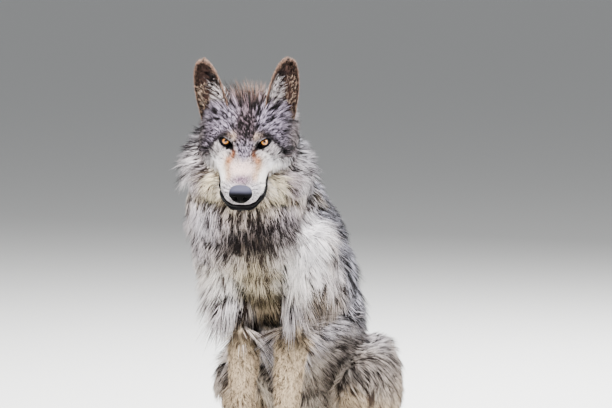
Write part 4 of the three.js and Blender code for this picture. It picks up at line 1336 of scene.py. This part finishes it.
# ---- Ears' hair ---------------------------------------------------------------------------------------
# Short brown hair towards the tip on the ears' backs and rims and down in the hollow, long pale hair from
# the inner edge across it, and cream hair from the foot of the outer edge. All of it is one piece.
EAR_HAIR = {  # how many on each ear, length, rise, light hairs, dark hairs, share of dark ones
    "back": (8000, 0.0085, 0.0024, (0.50, 0.40, 0.34), (0.20, 0.13, 0.11), 0.45),
    "rim": (5500, 0.0090, 0.0026, (0.46, 0.36, 0.31), (0.18, 0.12, 0.10), 0.52),
    # The hair down in the hollow is darker than on the back, as painted shade of the hollow.
    "down": (3000, 0.0080, 0.0016, (0.26, 0.21, 0.19), (0.10, 0.08, 0.07), 0.60),
    "inner": (900, 0.0210, 0.0050, (0.80, 0.76, 0.76), (0.12, 0.08, 0.08), 0.44),
    "outer": (600, 0.0140, 0.0035, (0.74, 0.64, 0.56), (0.22, 0.15, 0.12), 0.48),
}
parts = []
for side in (1, -1):
    for place_on_ear, (count, size, rise, light, dark, dark_share) in EAR_HAIR.items():
        count = int(count * thinned)
        share, along_rim = chance.random(count), chance.random(count)
        if place_on_ear == "back":
            angle = np.pi * (1.0 + chance.random(count))
        elif place_on_ear == "rim":
            angle = np.where(along_rim < 0.5, 0.0, np.pi) + chance.normal(0, 0.42, count)
        elif place_on_ear == "down":
            angle = np.arccos(2 * chance.random(count) - 1)
        else:
            inner = place_on_ear == "inner"
            across_ear = -1 + 2 * chance.beta(*((1.6, 4.2) if inner else (1.2, 7.0)), count)
            angle = np.arccos(np.clip((side if inner else -side) * across_ear, -1, 1))
            share = (0.06 + 0.60 * share**1.3) if inner else (0.42 + 0.16 * (side > 0)) * share
        share = np.clip(share, 0.01, 0.985)
        root = ear_place(side, share, angle)
        up = unit(ear_place(side, np.minimum(share + 0.01, 1), angle) - ear_place(side, share - 0.01, angle))
        out = unit(ear_place(side, share, angle - 0.02 * side) - ear_place(side, share, angle + 0.02 * side))
        normal = unit(ear_place(side, share, angle, 1.0) - root)
        onward = {
            "back": up, "rim": up + 0.3 * normal, "down": up, "inner": 0.8 * out + 0.8 * up,
            "outer": 1.4 * up - 0.6 * out,
        }[place_on_ear]
        taper = 1 - (0.9 * share * chance.uniform(0.5, 1.2, count)) * (place_on_ear in ("inner", "outer"))
        spots = np.stack([0.25 + 0.24 * side + 0.24 * (angle % (2 * np.pi)) / 2 / np.pi, share * 0.98], 1)
        marks = np.tile(np.r_[tint(*light), 0.5 * tint(*dark), dark_share, 0.0], (count, 1))
        marks[:, 6] += (0.7 * ramp(share, 0.25 + 0.15 * (side > 0), 0.70)) * (place_on_ear == "inner")
        bent = np.full(count, 8.0 if place_on_ear in ("back", "rim", "down") else -6.0)
        lie = flattened(onward, normal)
        parts.append((root, normal, lie, size * taper, rise * taper, marks, spots, bent))
root, normal, lie, size, rise, marks, spots, bend = [np.concatenate(column) for column in zip(*parts)]
clumps = clumped(root, EARS_PER_CLUMP)
draws = 0.6 * chance.random(len(root)) + 0.4 * chance.random(len(root))[clumps]
piece = tufts(
    "coat_ears", root, normal, lie, bend, size, 0.0007 + 0.04 * size, rise,
    hair_colours(marks, draws), marks[:, 7], spots, clumps, 0.3, np.zeros(len(root)),
)
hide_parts("ear_left", "ear_right")


# ---- Whiskers -----------------------------------------------------------------------------------------
# Long dark bristles in three rows on each side of the muzzle, swept back and a little down. Each is a thin
# tapering tube that starts just under the hide, at one of the dark dots of the whisker pad.
WHISKER_STEPS, WHISKER_RADIUS = 9, 0.00028
bristle, nodes, links, shader = new_material("whiskers", 0.4)
shade = grained(nodes, 60, 2).outputs["Value"]
dark, pale = (0.004, 0.003, 0.003), (0.030, 0.024, 0.024)
links.new(blended(nodes, links, shade, dark, pale), shader.inputs["Base Color"])
toward_front = head_turned @ Vector((0, -0.866, 0.5))
bristles = []
for side in (1, -1):
    for number, (middle, level) in enumerate(WHISKERS):
        above = on_head(middle * side, -0.5 * level, -0.866 * level) + toward_front * 0.2
        hit, normal, *_ = hide_tree.ray_cast(above, -toward_front)
        long = 0.030 + 0.004 * (number % 4) + 0.002 * (number % 3)
        sweep = (head_turned @ Vector((0.55 * side, 0.55, -0.30 - 0.05 * (number % 3)))).normalized()
        along = np.linspace(0, 1, WHISKER_STEPS)[:, None]
        line = np.array(hit) + long * (along * 0.55 * np.array(normal) + (along**1.7) * 0.9 * np.array(sweep))
        line -= np.array(normal) * 0.001 * (1 - along)
        width = WHISKER_RADIUS * (1 - 0.85 * along[:, 0])
        bristles.append(strip(line, np.tile(np.array(normal), (WHISKER_STEPS, 1)), width, width, sides=5))
built("whiskers", *joined(bristles), bristle, "face_fur", "muzzle")


# ---- Camera, lights and floor -------------------------------------------------------------------------
# The camera stands far off, a little to the wolf's left and a little above its chest. Three soft lamps and
# a pale room light the wolf, which sits on a plain pale floor.
AZIMUTH, ELEVATION, DISTANCE, SEEN_WIDTH = 16.0, 4.0, 6.5, 1.163
AIM_ACROSS, AIM_BELOW = 0.116, 0.118  # where it aims, from between the eyes
FLOOR_HALF = 150
turn, tilt = np.radians(AZIMUTH), np.radians(ELEVATION)
looking_back = Vector((np.sin(turn) * np.cos(tilt), -np.cos(turn) * np.cos(tilt), np.sin(tilt)))
aim = between_eyes + Vector((np.cos(turn) * AIM_ACROSS, np.sin(turn) * AIM_ACROSS, -AIM_BELOW))
lens = bpy.data.cameras.new("camera")
lens.lens = 36 * DISTANCE / SEEN_WIDTH
lens.clip_end = 500
camera = bpy.data.objects.new("camera", lens)
camera.location = aim + looking_back * DISTANCE
camera.rotation_euler = (-looking_back).to_track_quat("-Z", "Y").to_euler()
bpy.context.collection.objects.link(camera)
bpy.context.scene.camera = camera


def soft_light(name, place, size, power, colour):
    """A large soft lamp that shines at the wolf's chest."""
    lamp = bpy.data.lights.new(name, "AREA")
    lamp.shape = "DISK"
    lamp.size = size
    lamp.energy = power
    lamp.color = colour
    holder = bpy.data.objects.new(name, lamp)
    holder.location = place
    holder.rotation_euler = (Vector((0, -0.1, 0.5)) - Vector(place)).to_track_quat("-Z", "Y").to_euler()
    bpy.context.collection.objects.link(holder)


soft_light("key", (-0.5, -2.4, 3.4), 1.2, 640, (1.0, 0.985, 0.96))
soft_light("fill", (2.8, -1.8, 2.2), 1.6, 200, (0.97, 0.98, 1.0))
soft_light("back", (0.6, 2.2, 3.2), 1.6, 520, (1.0, 1.0, 1.0))

world = bpy.data.worlds.new("room")
world.use_nodes = True
world.node_tree.nodes["Background"].inputs["Color"].default_value = (0.80, 0.82, 0.84, 1)
world.node_tree.nodes["Background"].inputs["Strength"].default_value = 0.40
bpy.context.scene.world = world

floor_mesh = bpy.data.meshes.new("floor")
floor_corners = [(x * FLOOR_HALF, y * FLOOR_HALF, 0) for x, y in ((-1, -1), (1, -1), (1, 1), (-1, 1))]
floor_mesh.from_pydata(floor_corners, [], [(0, 1, 2, 3)])
floor = bpy.data.objects.new("floor", floor_mesh)
bpy.context.collection.objects.link(floor)
floor_finish, nodes, links, shader = new_material("floor", 0.9)
shader.inputs["Base Color"].default_value = (0.80, 0.80, 0.79, 1)
floor_mesh.materials.append(floor_finish)
